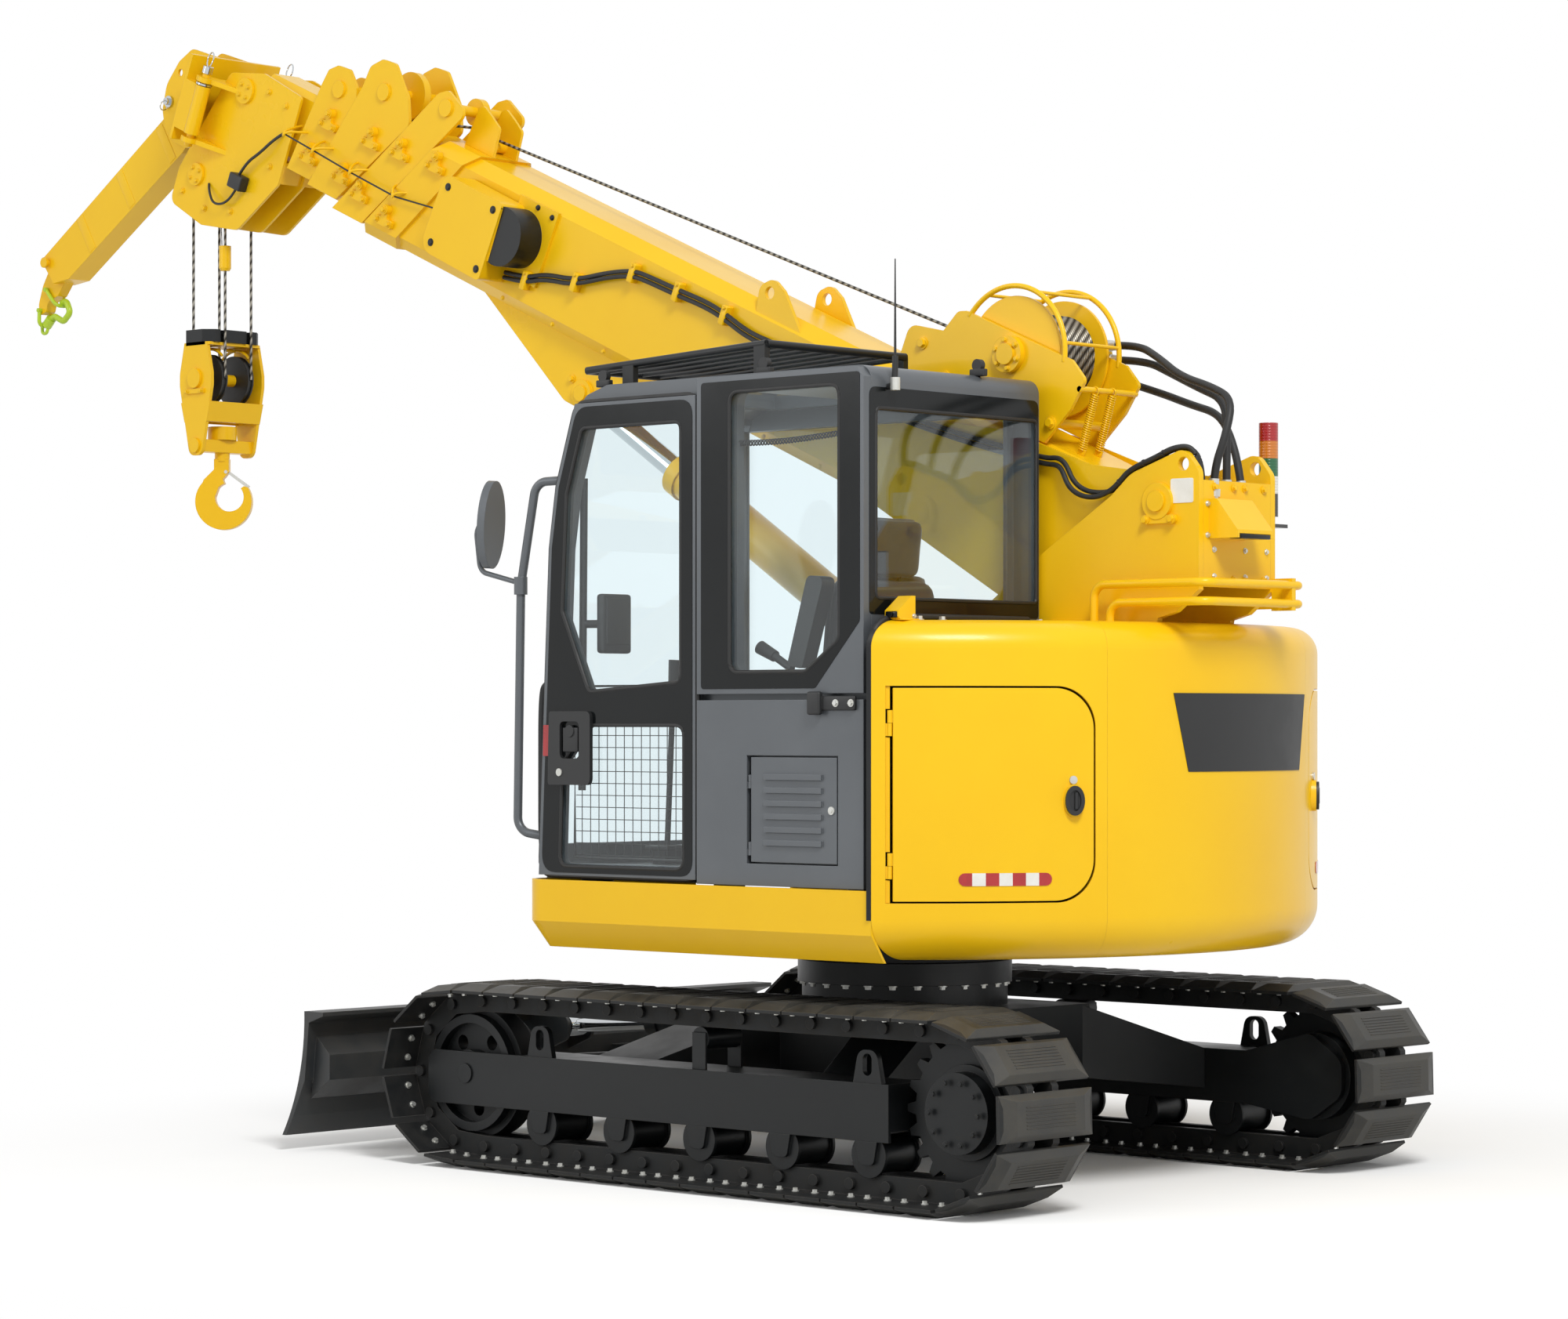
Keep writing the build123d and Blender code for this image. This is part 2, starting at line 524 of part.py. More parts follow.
def skirt(side):
    """The folded side sheet that runs along the house and round its front corner."""
    inner = HOUSE_HALF_WIDTH - SKIRT_WALL
    face = outline((HOUSE_HALF_WIDTH, SKIRT_TOP), (HOUSE_HALF_WIDTH, SKIRT_BEND),
                   (HOUSE_HALF_WIDTH - SKIRT_TUCK, SKIRT_LOW), (inner - SKIRT_TUCK, SKIRT_LOW),
                   (inner, SKIRT_BEND), (inner, SKIRT_TOP))
    path = FilletPolyline((COWL_FRONT, HOUSE_HALF_WIDTH, SKIRT_TOP),
                          (HOUSE_FRONT, HOUSE_HALF_WIDTH, SKIRT_TOP),
                          (HOUSE_FRONT, BOOM_Y + side * 250 if side > 0 else 250 - BOOM_Y, SKIRT_TOP),
                          radius=SKIRT_ROUND + 1)
    plane = Plane(origin=(COWL_FRONT, 0, 0), x_dir=(0, 1, 0), z_dir=(1, 0, 0))
    sheet = sweep(plane * face, path=path)
    return sheet if side > 0 else mirror(sheet, about=Plane.XZ)


def engine():
    """The engine and pumps in the rear as one plain block."""
    right = block((-1010, -880), (-760, -220), (DECK_TOP, 1560))
    return right + block((-1010, -880), (300, 760), (DECK_TOP, 1500))


def right_cover():
    """The closed cover over the tanks on the right, sloping down in front."""
    low, high = SKIRT_TOP, 1520
    left, right = BOOM_Y - 290, 14 - HOUSE_HALF_WIDTH
    side = outline((COWL_FRONT + COWL_WALL, low), (HOUSE_FRONT - 60, low), (HOUSE_FRONT - 60, low + 130, 60),
                   (HOUSE_FRONT - 420, high, 90), (COWL_FRONT + COWL_WALL, high))
    shell = across(side, right, left)
    inner = offset(side, -COWL_WALL)
    return shell - across(inner, right + COWL_WALL, left - COWL_WALL)


SIDE_SKIN = 38
cab_profile = ((CAB_REAR, CAB_FLOOR), (CAB_FRONT, CAB_FLOOR), (611, 2113), (577, 2321), (479, 2619, 40),
               (371, CAB_ROOF, 60), (CAB_REAR, CAB_ROOF, 50))
door_profile = ((DOOR_REAR_EDGE + 8, CAB_FLOOR + 12), (CAB_FRONT, CAB_FLOOR + 12), (611, 2113), (577, 2321),
                (487, 2592), (DOOR_REAR_EDGE + 8, 2592))
door_upper_glass = ((-7, 1660, 30), (420, 1630, 30), (548, 1900, 30), (528, 2290, 30), (455, 2510, 30),
                    (-7, 2510, 30))
door_lower_glass = ((-21, 1048, 40), (560, 1048, 40), (548, 1390, 40), (430, 1520, 40), (-21, 1520, 40))
quarter_glass = ((-226, 1690, 40), (-560, 1690, 40), (-702, 1790, 40), (-702, 2593, 40), (-226, 2593, 40))
REAR_GLASS = ((CAB_RIGHT + 12, CAB_LEFT - 59), (1918, 2516))
RIGHT_GLASS = ((-690, 500), (1640, 2540))
FRONT_GLASS = ((CAB_RIGHT + 48, CAB_LEFT - 85), (1120, 2560))
ROOF_GLASS = ((-160, 300), (CAB_RIGHT + 88, CAB_LEFT - 115))
HATCH = ((-692, -323), (1082, 1417))


def cab_hollow():
    """The room inside the cab."""
    return across(offset(outline(*cab_profile), -CAB_WALL), CAB_RIGHT + CAB_WALL,
                  CAB_LEFT - SIDE_SKIN - CAB_WALL)


def cab_frame():
    """The cab's walls, posts, floor and roof as one hollow shell with every window cut."""
    shell = across(outline(*cab_profile), CAB_RIGHT, CAB_LEFT - SIDE_SKIN) - cab_hollow()
    aperture = offset(outline(*door_profile), -40)
    shell -= across(aperture, CAB_LEFT - 200, CAB_LEFT)
    shell -= across(offset(outline(*quarter_glass), 12), CAB_LEFT - 200, CAB_LEFT)
    shell -= block((CAB_REAR - 50, CAB_REAR + 100), *REAR_GLASS)
    shell -= block(RIGHT_GLASS[0], (CAB_RIGHT - 50, CAB_RIGHT + 100), RIGHT_GLASS[1])
    shell -= block((380, 800), *FRONT_GLASS)
    return shell - block(ROOF_GLASS[0], ROOF_GLASS[1], (CAB_ROOF - 100, CAB_ROOF + 100))


def cab_door():
    """The plug door that covers the cab's left front, with openings for two panes."""
    leaf = outline(*door_profile) - outline(*door_upper_glass) - outline(*door_lower_glass)
    return across(leaf, CAB_LEFT - SIDE_SKIN, CAB_LEFT)


def cab_quarter():
    """The dark surround of the rear side window."""
    face = outline((CAB_REAR, CAB_BELT + 20), (DOOR_REAR_EDGE, CAB_BELT + 20), (DOOR_REAR_EDGE, CAB_ROOF - 8),
                   (CAB_REAR + 30, CAB_ROOF - 8), (CAB_REAR, CAB_ROOF - 40))
    return across(face - outline(*quarter_glass), CAB_LEFT - SIDE_SKIN, CAB_LEFT)


def cab_side_panel():
    """The panel under the side window, open where its louvred hatch hangs."""
    panel = block((CAB_REAR, DOOR_REAR_EDGE), (CAB_LEFT - SIDE_SKIN, CAB_LEFT), (CAB_FLOOR, CAB_BELT))
    (x0, x1), (z0, z1) = HATCH
    panel -= block((x0 - DOOR_GAP, x1 + 20), (CAB_LEFT - SIDE_SKIN, CAB_LEFT), (z0 - DOOR_GAP, z1 + DOOR_GAP))
    for z in (z0 + 40, z1 - 80):
        panel += rod((hatch_hinge[0], hatch_hinge[1], z - 20), (hatch_hinge[0], hatch_hinge[1], z),
                     HINGE_BARREL)
        panel += rod((hatch_hinge[0], hatch_hinge[1], z - 20), (hatch_hinge[0], hatch_hinge[1], z + 24),
                     HINGE_PIN)
        panel += block((hatch_hinge[0], x1 + 20), (hatch_hinge[1] - 4, hatch_hinge[1] + 4), (z - 20, z))
    return panel


hatch_hinge = (HATCH[0][1] + 9, CAB_LEFT - HINGE_BARREL)


def cab_hatch():
    """The louvred lid in the cab's side panel, on two knuckles at its front edge."""
    (x0, x1), (z0, z1) = HATCH
    lid = block((x0, x1), (CAB_LEFT - 14, CAB_LEFT), (z0, z1))
    for row in range(6):
        z = z1 - 60 - 42 * row
        lid += block((x0 + 60, x1 - 60), (CAB_LEFT - 4, CAB_LEFT + 8), (z - 12, z + 6))
        lid -= block((x0 + 66, x1 - 66), (CAB_LEFT - 20, CAB_LEFT + 3), (z - 12, z - 2))
    for z in (z0 + 40, z1 - 80):
        knuckle = rod((hatch_hinge[0], hatch_hinge[1], z + 0.5), (hatch_hinge[0], hatch_hinge[1], z + 22),
                      HINGE_BARREL)
        leaf = block((x1 - 4, hatch_hinge[0]), (hatch_hinge[1] - 4, hatch_hinge[1] + 4), (z + 0.5, z + 22))
        bore = rod((hatch_hinge[0], hatch_hinge[1], z - 20), (hatch_hinge[0], hatch_hinge[1], z + 40),
                   HINGE_PIN + PIN_CLEARANCE)
        lid = lid + (knuckle + leaf) - bore
    return lid


def cab_glass():
    """Every pane of the cab, each set in its own opening."""
    panes = [across(outline(*glass), CAB_LEFT - 14, CAB_LEFT - 14 + GLASS)
             for glass in (door_upper_glass, door_lower_glass, quarter_glass)]
    panes.append(block((CAB_REAR + 8, CAB_REAR + 8 + GLASS), *REAR_GLASS))
    panes.append(block(RIGHT_GLASS[0], (CAB_RIGHT + 8, CAB_RIGHT + 8 + GLASS), RIGHT_GLASS[1]))
    panes.append(block(ROOF_GLASS[0], ROOF_GLASS[1], (CAB_ROOF - 20, CAB_ROOF - 20 + GLASS)))
    skin = offset(outline(*cab_profile), -10) - offset(outline(*cab_profile), -10 - GLASS)
    screen = across(skin, *FRONT_GLASS[0]) & block((380, 800), *FRONT_GLASS)
    return panes + screen.solids()


def seat():
    """The operator's chair on its stand, with the head rest."""
    x, y, floor = -280, (CAB_LEFT + CAB_RIGHT) / 2, CAB_FLOOR + CAB_WALL
    chair = block((x - 180, x + 200), (y - 180, y + 180), (floor, floor + 260))
    chair += block((x - 250, x + 270), (y - 250, y + 250), (floor + 260, floor + 400))
    back = outline((x - 250, floor + 380), (x - 120, floor + 400), (x - 190, floor + 960, 30),
                   (x - 290, floor + 960, 30))
    chair += across(back, y - 240, y + 240)
    rest = outline((x - 215, floor + 940), (x - 265, floor + 940), (x - 295, floor + 1130, 20),
                   (x - 220, floor + 1130, 20))
    return chair + across(rest, y - 125, y + 125)


def controls():
    """The two side consoles with their levers, and the front travel levers."""
    floor = CAB_FLOOR + CAB_WALL
    pieces = []
    middle = (CAB_LEFT + CAB_RIGHT) / 2
    for y in (CAB_RIGHT + 93, CAB_LEFT - 130):
        console = block((-330, 60), (y - 45, y + 45), (floor, floor + 580))
        console += rod((0, y, floor + 570), (20, y, floor + 720), 9)
        console += rod((20, y, floor + 720), (32, y, floor + 830), 22)
        pieces.append(console)
    front = block((380, 440), (middle - 110, middle + 110), (floor, floor + 60))
    for y in (middle - 70, middle + 70):
        front += rod((410, y, floor + 50), (380, y, floor + 620), 10)
    pieces.append(front)
    return pieces


bracket_half = BASE_WIDTH / 2 + FOOT_CHEEK + BRACKET_GAP
BRACKET_TOP = 2402
BRACKET_REAR = -1453
EYE_RADIUS = 22
LUFF_FOOT = (-1000, 1117)
LUFF_PIN_RADIUS = 38
LUFF_EYE_RADIUS = 58
LUFF_BARREL = 2430
LUFF_BARREL_RADIUS = 75
LUFF_ROD = 1490
LUFF_ROD_RADIUS = 42
LUFF_DRIFT = 0.9
LUFF_SHORT = 20
KNEE = (2700, -630)
KNEE_HALF = 92
KNEE_PLATE = 20


def boom_point(along, above):
    """A point of the boom's own frame, in X and Z of the machine."""
    turn = math.radians(BOOM_ANGLE)
    return (FOOT_X + along * math.cos(turn) - above * math.sin(turn),
            FOOT_Z + along * math.sin(turn) + above * math.cos(turn))


def on_boom(shape):
    """Moves a shape from the boom's own frame, X along it and Z above it, to the machine."""
    return Pos(FOOT_X, BOOM_Y, FOOT_Z) * Rot(0, -BOOM_ANGLE, 0) * shape


def bracket_plate(side):
    """One tall plate of the boom's mounting, with its lifting eye and the holes for two pins."""
    lower_rear = COUNTERWEIGHT_DEPTH + 36 - HOUSE_RADIUS
    seat = COWL_TOP_ROUND + 39 - HOUSE_RADIUS
    cheek = outline((BRACKET_REAR, 1950), (BRACKET_REAR, 2330, 50), (-1395, BRACKET_TOP, 40),
                    (-1180, 2330, 120),
                    (-1100, 2262), (-800, 2075), (-420, 1810, 150), (-330, 1300, 80), (-330, DECK_TOP),
                    (lower_rear, DECK_TOP), (lower_rear, HOUSE_TOP - COWL_WALL),
                    (seat, HOUSE_TOP - COWL_WALL),
                    (seat - 5, HOUSE_TOP + 12), (seat - 75, HOUSE_TOP + 30))
    cheek -= Pos(-1392, 2352) * Circle(EYE_RADIUS)
    cheek -= Pos(FOOT_X, FOOT_Z) * Circle(FOOT_PIN_RADIUS)
    cheek -= Pos(*LUFF_FOOT) * Circle(LUFF_PIN_RADIUS)
    inner = BOOM_Y + side * bracket_half
    return across(cheek, *sorted((inner, inner + side * BRACKET_PLATE)))


def bracket_ties():
    """What joins the two plates: the rear sheet with its camera hood, the lower sheet and the two pins."""
    span = (BOOM_Y - bracket_half, BOOM_Y + bracket_half)
    rear = block((BRACKET_REAR, BRACKET_REAR + 20), span, (1960, 2300))
    hood = outline((BRACKET_REAR, 2241), (BRACKET_REAR - 30, 2241), (BRACKET_REAR - 112, 2140),
                   (BRACKET_REAR - 112, 2114),
                   (BRACKET_REAR, 2114))
    lens = outline((BRACKET_REAR - 60, 2100), (BRACKET_REAR - 120, 2100), (BRACKET_REAR - 120, 2128),
                   (BRACKET_REAR - 60, 2128))
    rear += across(hood, BOOM_Y - 40, BOOM_Y + 150) - across(lens, BOOM_Y - 28, BOOM_Y + 138)
    lower_rear = COUNTERWEIGHT_DEPTH + 36 - HOUSE_RADIUS
    lower = block((lower_rear, lower_rear + 20), span, (DECK_TOP, 1500))
    reach = bracket_half + BRACKET_PLATE
    foot = rod((FOOT_X, BOOM_Y - reach, FOOT_Z), (FOOT_X, BOOM_Y + reach, FOOT_Z), FOOT_PIN_RADIUS)
    foot += rod((FOOT_X, BOOM_Y + reach, FOOT_Z), (FOOT_X, BOOM_Y + reach + 14, FOOT_Z), FOOT_PIN_RADIUS + 14)
    keeper = outline((FOOT_X - 75, FOOT_Z - 45, 12), (FOOT_X + 60, FOOT_Z - 45, 12),
                     (FOOT_X + 60, FOOT_Z - 72, 12),
                     (FOOT_X - 75, FOOT_Z - 72, 12))
    foot += across(keeper, BOOM_Y + reach, BOOM_Y + reach + 12)
    foot += across(outline((FOOT_X - 30, FOOT_Z), (FOOT_X + 30, FOOT_Z), (FOOT_X + 22, FOOT_Z - 60),
                           (FOOT_X - 22, FOOT_Z - 60)), BOOM_Y + reach, BOOM_Y + reach + 12)
    luff = rod((LUFF_FOOT[0], BOOM_Y - reach, LUFF_FOOT[1]), (LUFF_FOOT[0], BOOM_Y + reach, LUFF_FOOT[1]),
               LUFF_PIN_RADIUS)
    return [rear, lower, foot, luff]


def tube_face(width, height, corner):
    """A box section with cut corners, centred on the boom's middle line."""
    w, h = width / 2, height / 2
    return make_face(Polyline((-w, corner - h), (corner - w, -h), (w - corner, -h), (w, corner - h),
                              (w, h - corner),
                              (w - corner, h), (corner - w, h), (-w, h - corner), close=True))


def tube(width, height, wall, start, end):
    """A hollow boom section between two places along the boom."""
    corner = 0.14 * width
    face = tube_face(width, height, corner)
    face -= tube_face(width - 2 * wall, height - 2 * wall, corner - 0.6 * wall)
    return Pos(0, 0, TUBE_MIDDLE) * lengthwise(face, start, end)


def runner(number, start):
    """The wear shoe round a sliding section's rear end, which fills the section outside it."""
    width, height = section_size(number - 1)
    wall = BASE_WALL if number == 2 else SECTION_WALL
    inner_width, inner_height = section_size(number)
    room = 2 * (wall + RUNNING_GAP)
    face = tube_face(width - room, height - room, 0.14 * width)
    face -= tube_face(inner_width - 2 * SECTION_WALL, inner_height - 2 * SECTION_WALL,
                      0.14 * inner_width - 0.6 * SECTION_WALL)
    return Pos(0, 0, TUBE_MIDDLE) * lengthwise(face, start, start + RUNNER_LENGTH)


def section_size(number):
    """Width and height of a boom section, counted from the base as one."""
    return BASE_WIDTH - (number - 1) * STEP_WIDTH, BASE_HEIGHT - (number - 1) * STEP_HEIGHT


COLLAR_FRONT = ((3720, 30), (4063, -480))
COLLAR_RISE = 10
GUIDE_ROLLER = (3640, 24)
GUIDE_RADIUS = 22
FOOT_BORE = 75
WINCH_AXIS = (813, 207)


def boom_base():
    """The outer section: tube, slanted front collar, foot cheeks, knee for the cylinder and lifting lugs."""
    (x0, z0), (x1, z1) = COLLAR_FRONT
    beam = tube(BASE_WIDTH, BASE_HEIGHT, BASE_WALL, 330, 4200)
    beam -= across(outline((x0, z0), (x1, z1), (4300, z1), (4300, z0)), -400, 400)
    band = tube(BASE_WIDTH + 28, BASE_HEIGHT + 2 * COLLAR_RISE, COLLAR_RISE + BASE_WALL, 3400, 4200)
    beam += band & across(outline((x0, z0), (x1, z1), (x1 - 196, z1), (x0 - 190, z0)), -400, 400)
    half = BASE_WIDTH / 2
    cheek = outline((-FOOT_BORE, -FOOT_BORE, 70), (437, -547, 60), (1367, -440), (1367, -200), (700, -20),
                    (330, 0), (60, FOOT_BORE, 60), (-FOOT_BORE, FOOT_BORE, 70))
    cheek -= Circle(FOOT_PIN_RADIUS + PIN_CLEARANCE)
    outer = half + FOOT_CHEEK
    for side in (-1, 1):
        beam += across(cheek, *sorted((side * half, side * outer)))
    beam += rod((0, -outer, 0), (0, outer, 0), FOOT_BORE)
    beam -= rod((0, -outer, 0), (0, outer, 0), FOOT_PIN_RADIUS + PIN_CLEARANCE)
    low = KNEE[1] - 58
    knee = outline((1850, -440), (KNEE[0] - 85, low, 70), (KNEE[0] + 85, low, 70), (3409, -440), (3300, -380),
                   (1950, -380))
    for side in (-1, 1):
        inner, outer = side * KNEE_HALF, side * (KNEE_HALF + KNEE_PLATE)
        beam += across(knee, *sorted((inner, outer)))
        beam += rod((KNEE[0], outer, KNEE[1]), (KNEE[0], outer + side * 14, KNEE[1]), LUFF_PIN_RADIUS + 12)
    for y in (-half + 8, half - 24):
        lug = outline((1715, -60), (1950, -100), (1975, 40, 40), (1925, 84, 40), (1860, 60, 30))
        beam += across(lug - Pos(1921, 31) * Circle(EYE_RADIUS), y, y + 16)
    hollow = tube_face(BASE_WIDTH - 2 * BASE_WALL, BASE_HEIGHT - 2 * BASE_WALL,
                       0.14 * BASE_WIDTH - 0.6 * BASE_WALL)
    return beam - Pos(0, 0, TUBE_MIDDLE) * lengthwise(hollow, 330, 4300)


def rope_guide():
    """The small bracket on the base's front top that keeps the rope in line, with its roller."""
    top = TUBE_MIDDLE + BASE_HEIGHT / 2 + COLLAR_RISE
    cheek = outline((3556, top), (3725, top), (3700, 171, 25), (3625, 140), (3566, 111, 20))
    guide = across(cheek, 52, 64) + across(cheek, -64, -52)
    u, v = GUIDE_ROLLER
    return guide + rod((u, -64, v), (u, 64, v), GUIDE_RADIUS)


def inner_section(number, rear, cut, cheek, boss, sheave):
    """One sliding section: its tube, its front cheeks, and the sheave between them."""
    width, height = section_size(number)
    beam = tube(width, height, SECTION_WALL, rear, 5000) + runner(number, rear)
    (x0, z0), (x1, z1) = cut
    lean = (x1 - x0) / (z1 - z0)
    beam -= across(outline((x1 + (200 - z1) * lean, 200), (x1 - (600 + z1) * lean, -600), (5600, -600),
                           (5600, 200)),
                   -400, 400)
    half = width / 2
    for side in (-1, 1):
        beam += across(outline(*cheek), *sorted((side * half, side * (half + 14))))
        beam += rod((boss[0], side * half, boss[1]), (boss[0], side * (half + 24), boss[1]), 34)
    beam += rod((boss[0], -half, boss[1]), (boss[0], half, boss[1]), 20)
    return beam + rod((boss[0], -16, boss[1]), (boss[0], 16, boss[1]), sheave)


def boom_2():
    cheek = ((3838, 153, 30), (3791, 179, 20), (3660, 131, 30), (4061, -440), (4247, -440))
    return inner_section(2, 520, ((3838, 153), (4247, -440)), cheek, (3772, 115), 52)


def boom_3():
    cheek = ((4285, 40, 50), (4271, 127, 40), (4212, 173, 30), (4138, 179, 30), (4018, 80, 40),
             (3969, -14, 30),
             (4262, -408), (4446, -408))
    return inner_section(3, 600, ((4285, 40), (4446, -408)), cheek, (4154, 59), 92)


def boom_4():
    cheek = ((4539, -24, 30), (4522, 37, 20), (4474, 69, 20), (4405, 74, 20), (4339, 23, 20), (4316, -36, 20),
             (4462, -394), (4610, -394))
    return inner_section(4, 680, ((4539, -24), (4610, -394)), cheek, (4430, -15), 58)


HEAD_SHEAVE = (5120, -590)
SHEAVE_RIM = 115
SHEAVE_PITCH = 100
SHEAVE_Y = 67
ROPE_RADIUS = 5.5
HEAD_PLATE = 12
HEAD_HALF = 130
JIB_PIN_Y = 205
JIB_PIN_U = 5130
JIB_PIN_RADIUS = 16


def boom_5():
    """The top section with the head: sheave plates, top roller and the ears for the jib's two pins."""
    width, height = section_size(5)
    beam = tube(width, height, SECTION_WALL, 760, 4900) + runner(5, 760)
    plate = outline((4625, -110, 20), (4880, -92, 40), (5080, -150, 40), (5240, -600, 60), (5239, -743, 40),
                    (5015, -768, 40), (4794, -716, 60), (4625, -470, 40))
    for y in (-HEAD_HALF, -HEAD_PLATE / 2, HEAD_HALF - HEAD_PLATE):
        cheek = across(plate, y, y + HEAD_PLATE)
        beam += cheek - block((4000, 4900), (-width / 2 + 1, width / 2 - 1), (-384, -94))
    beam += block((4640, 4660), (-HEAD_HALF, HEAD_HALF), (-470, -384))
    for v in (-205, -455):
        ear = Pos((4980 + JIB_PIN_U) / 2, 0) * Rectangle(JIB_PIN_U - 4980, 2 * HEAD_HALF)
        for side in (-1, 1):
            ear += make_face(Polyline((4980, side * HEAD_HALF), (JIB_PIN_U + 26, side * (JIB_PIN_Y + 26)),
                                      (JIB_PIN_U + 26, side * (JIB_PIN_Y - 40)),
                                      (JIB_PIN_U, side * HEAD_HALF),
                                      close=True))
        web = upright(ear, v - 10, v + 10)
        for side in (-1, 1):
            web += rod((JIB_PIN_U, side * JIB_PIN_Y, v - 10), (JIB_PIN_U, side * JIB_PIN_Y, v + 10), 32)
        beam += web
    for side in (-1, 1):
        beam += rod((JIB_PIN_U, side * JIB_PIN_Y, -480), (JIB_PIN_U, side * JIB_PIN_Y, -178), JIB_PIN_RADIUS)
    beam += rod((4960, -HEAD_HALF, -190), (4960, HEAD_HALF, -190), 45)
    return beam + rod((HEAD_SHEAVE[0], -HEAD_HALF, HEAD_SHEAVE[1]),
                      (HEAD_SHEAVE[0], HEAD_HALF, HEAD_SHEAVE[1]), 24)


def sheave(place, rim, pitch):
    """A grooved wheel on a sideways axis at a place given as X, Y and Z."""
    x, y, z = place
    core = pitch - ROPE_RADIUS - RUNNING_GAP
    wheel = rod((x, y - 14, z), (x, y + 14, z), rim) - rod((x, y - 8, z), (x, y + 8, z), rim + 10)
    return wheel + rod((x, y - 8, z), (x, y + 8, z), core) - rod((x, y - 20, z), (x, y + 20, z), 24)


def head_sheaves():
    """The two lower sheaves in the head that the falls hang from."""
    return [sheave((HEAD_SHEAVE[0], y, HEAD_SHEAVE[1]), SHEAVE_RIM, SHEAVE_PITCH)
            for y in (-SHEAVE_Y, SHEAVE_Y)]


JIB_PIVOT = (5300, -345)
JIB_SLOPE = -55
JIB_LENGTH = 1190


def jib_bracket():
    """The pair of half-round plates that swing on the head's pins, with the holes that set the slope."""
    plate = outline((5220, -130), (5410, -147, 40), (5472, -220, 60), (5512, -330, 90), (5497, -433, 60),
                    (5454, -497, 40), (5376, -531, 30), (5290, -531, 40), (5220, -480))
    for spot in (-30, 15, 62):
        turn = math.radians(-spot)
        plate -= Pos(JIB_PIVOT[0] + 170 * math.cos(turn), JIB_PIVOT[1] + 170 * math.sin(turn)) * Circle(15)
    bracket = across(plate, 68, 80) + across(plate, -80, -68)
    reach = JIB_PIN_Y + 22
    bracket += block((5216, 5232), (-reach, reach), (-480, -130))
    low, high = -430, -230
    for side in (-1, 1):
        y = side * JIB_PIN_Y
        knuckle = block((JIB_PIN_U, 5220), (y - 22, y + 22), (low, high))
        knuckle += rod((JIB_PIN_U, y, low), (JIB_PIN_U, y, high), 30)
        bracket += knuckle - rod((JIB_PIN_U, y, low), (JIB_PIN_U, y, high), JIB_PIN_RADIUS + PIN_CLEARANCE)
    mouth = JIB_PIN_RADIUS + PIN_CLEARANCE
    bracket -= block((JIB_PIN_U - 60, JIB_PIN_U), (-JIB_PIN_Y - mouth, mouth - JIB_PIN_Y), (low, high))
    return bracket + rod((JIB_PIVOT[0], -80, JIB_PIVOT[1]), (JIB_PIVOT[0], 80, JIB_PIVOT[1]), 20)


def on_jib(shape):
    """Moves a shape from the jib arm's own frame, X along it from its pivot, to the boom's frame."""
    return Pos(JIB_PIVOT[0], 0, JIB_PIVOT[1]) * Rot(0, -JIB_SLOPE, 0) * shape


def jib_arm():
    """The short box arm that slopes down from the bracket, with the bent tongue at its tip."""
    end = JIB_LENGTH
    arm = outline((-50, -50, 48), (200, -95), (end - 110, -92), (end - 14, -46), (end, 84), (200, 95),
                  (-50, 50, 48))
    bar = across(arm, -55, 55) - rod((0, -100, 0), (0, 100, 0), 20 + PIN_CLEARANCE)
    bar -= across(offset(outline((230, -95), (end - 130, -92), (end - 130, 84), (230, 95)), -10), -47, 47)
    tongue = outline((end - 60, 50), (end - 6, 50, 10), (end + 80, 11, 60), (end + 150, -42, 60),
                     (end + 162, -86, 12),
                     (end + 119, -94, 12), (end + 88, -66, 40), (end + 20, -84, 20), (end - 60, -60))
    bar += across(tongue, -24, 24)
    return on_jib(bar + rod((end - 28, -68, 50), (end - 28, 68, 50), 14))


def jib_hook():
    """The small swivel hook on the tongue's shackle, hooked back to a second shackle under the arm."""
    end = JIB_LENGTH
    shackle = pipe([(end + 145, -33, -70), (end + 182, -33, -124), (end + 182, 33, -124),
                    (end + 145, 33, -70)], 8, 25)
    shackle += rod((end + 145, -42, -70), (end + 145, 42, -70), 9)
    keep = pipe([(end + 62, -33, -22), (end + 42, -33, -118), (end + 42, 33, -118), (end + 62, 33, -22)], 8,
                25)
    keep += rod((end + 62, -42, -22), (end + 62, 42, -22), 9)
    ring = pipe([(end + 150, 0, -114), (end + 196, 0, -104), (end + 214, 0, -140), (end + 190, 0, -154),
                 (end + 155, 0, -134)], 7, 14)
    bowl = pipe([(end + 135, 0, -121), (end + 105, 0, -126), (end + 68, 0, -180), (end + 10, 0, -174),
                 (end + 6, 0, -116),
                 (end + 36, 0, -106)], 13, 22)
    body = ring + rod((end + 172, 0, -128), (end + 130, 0, -120), 21) + bowl + shackle + keep
    return on_jib(body) - jib_arm()


WINCH_HALF = 150
DRUM_RADIUS = 140
DRUM_FLANGE = 196
WINCH_PLATE = 14
JOURNAL = 40
GUARD_TUBE = 9
ROPE_ROLLER = (1190, 110)
ROPE_ROLLER_RADIUS = 52


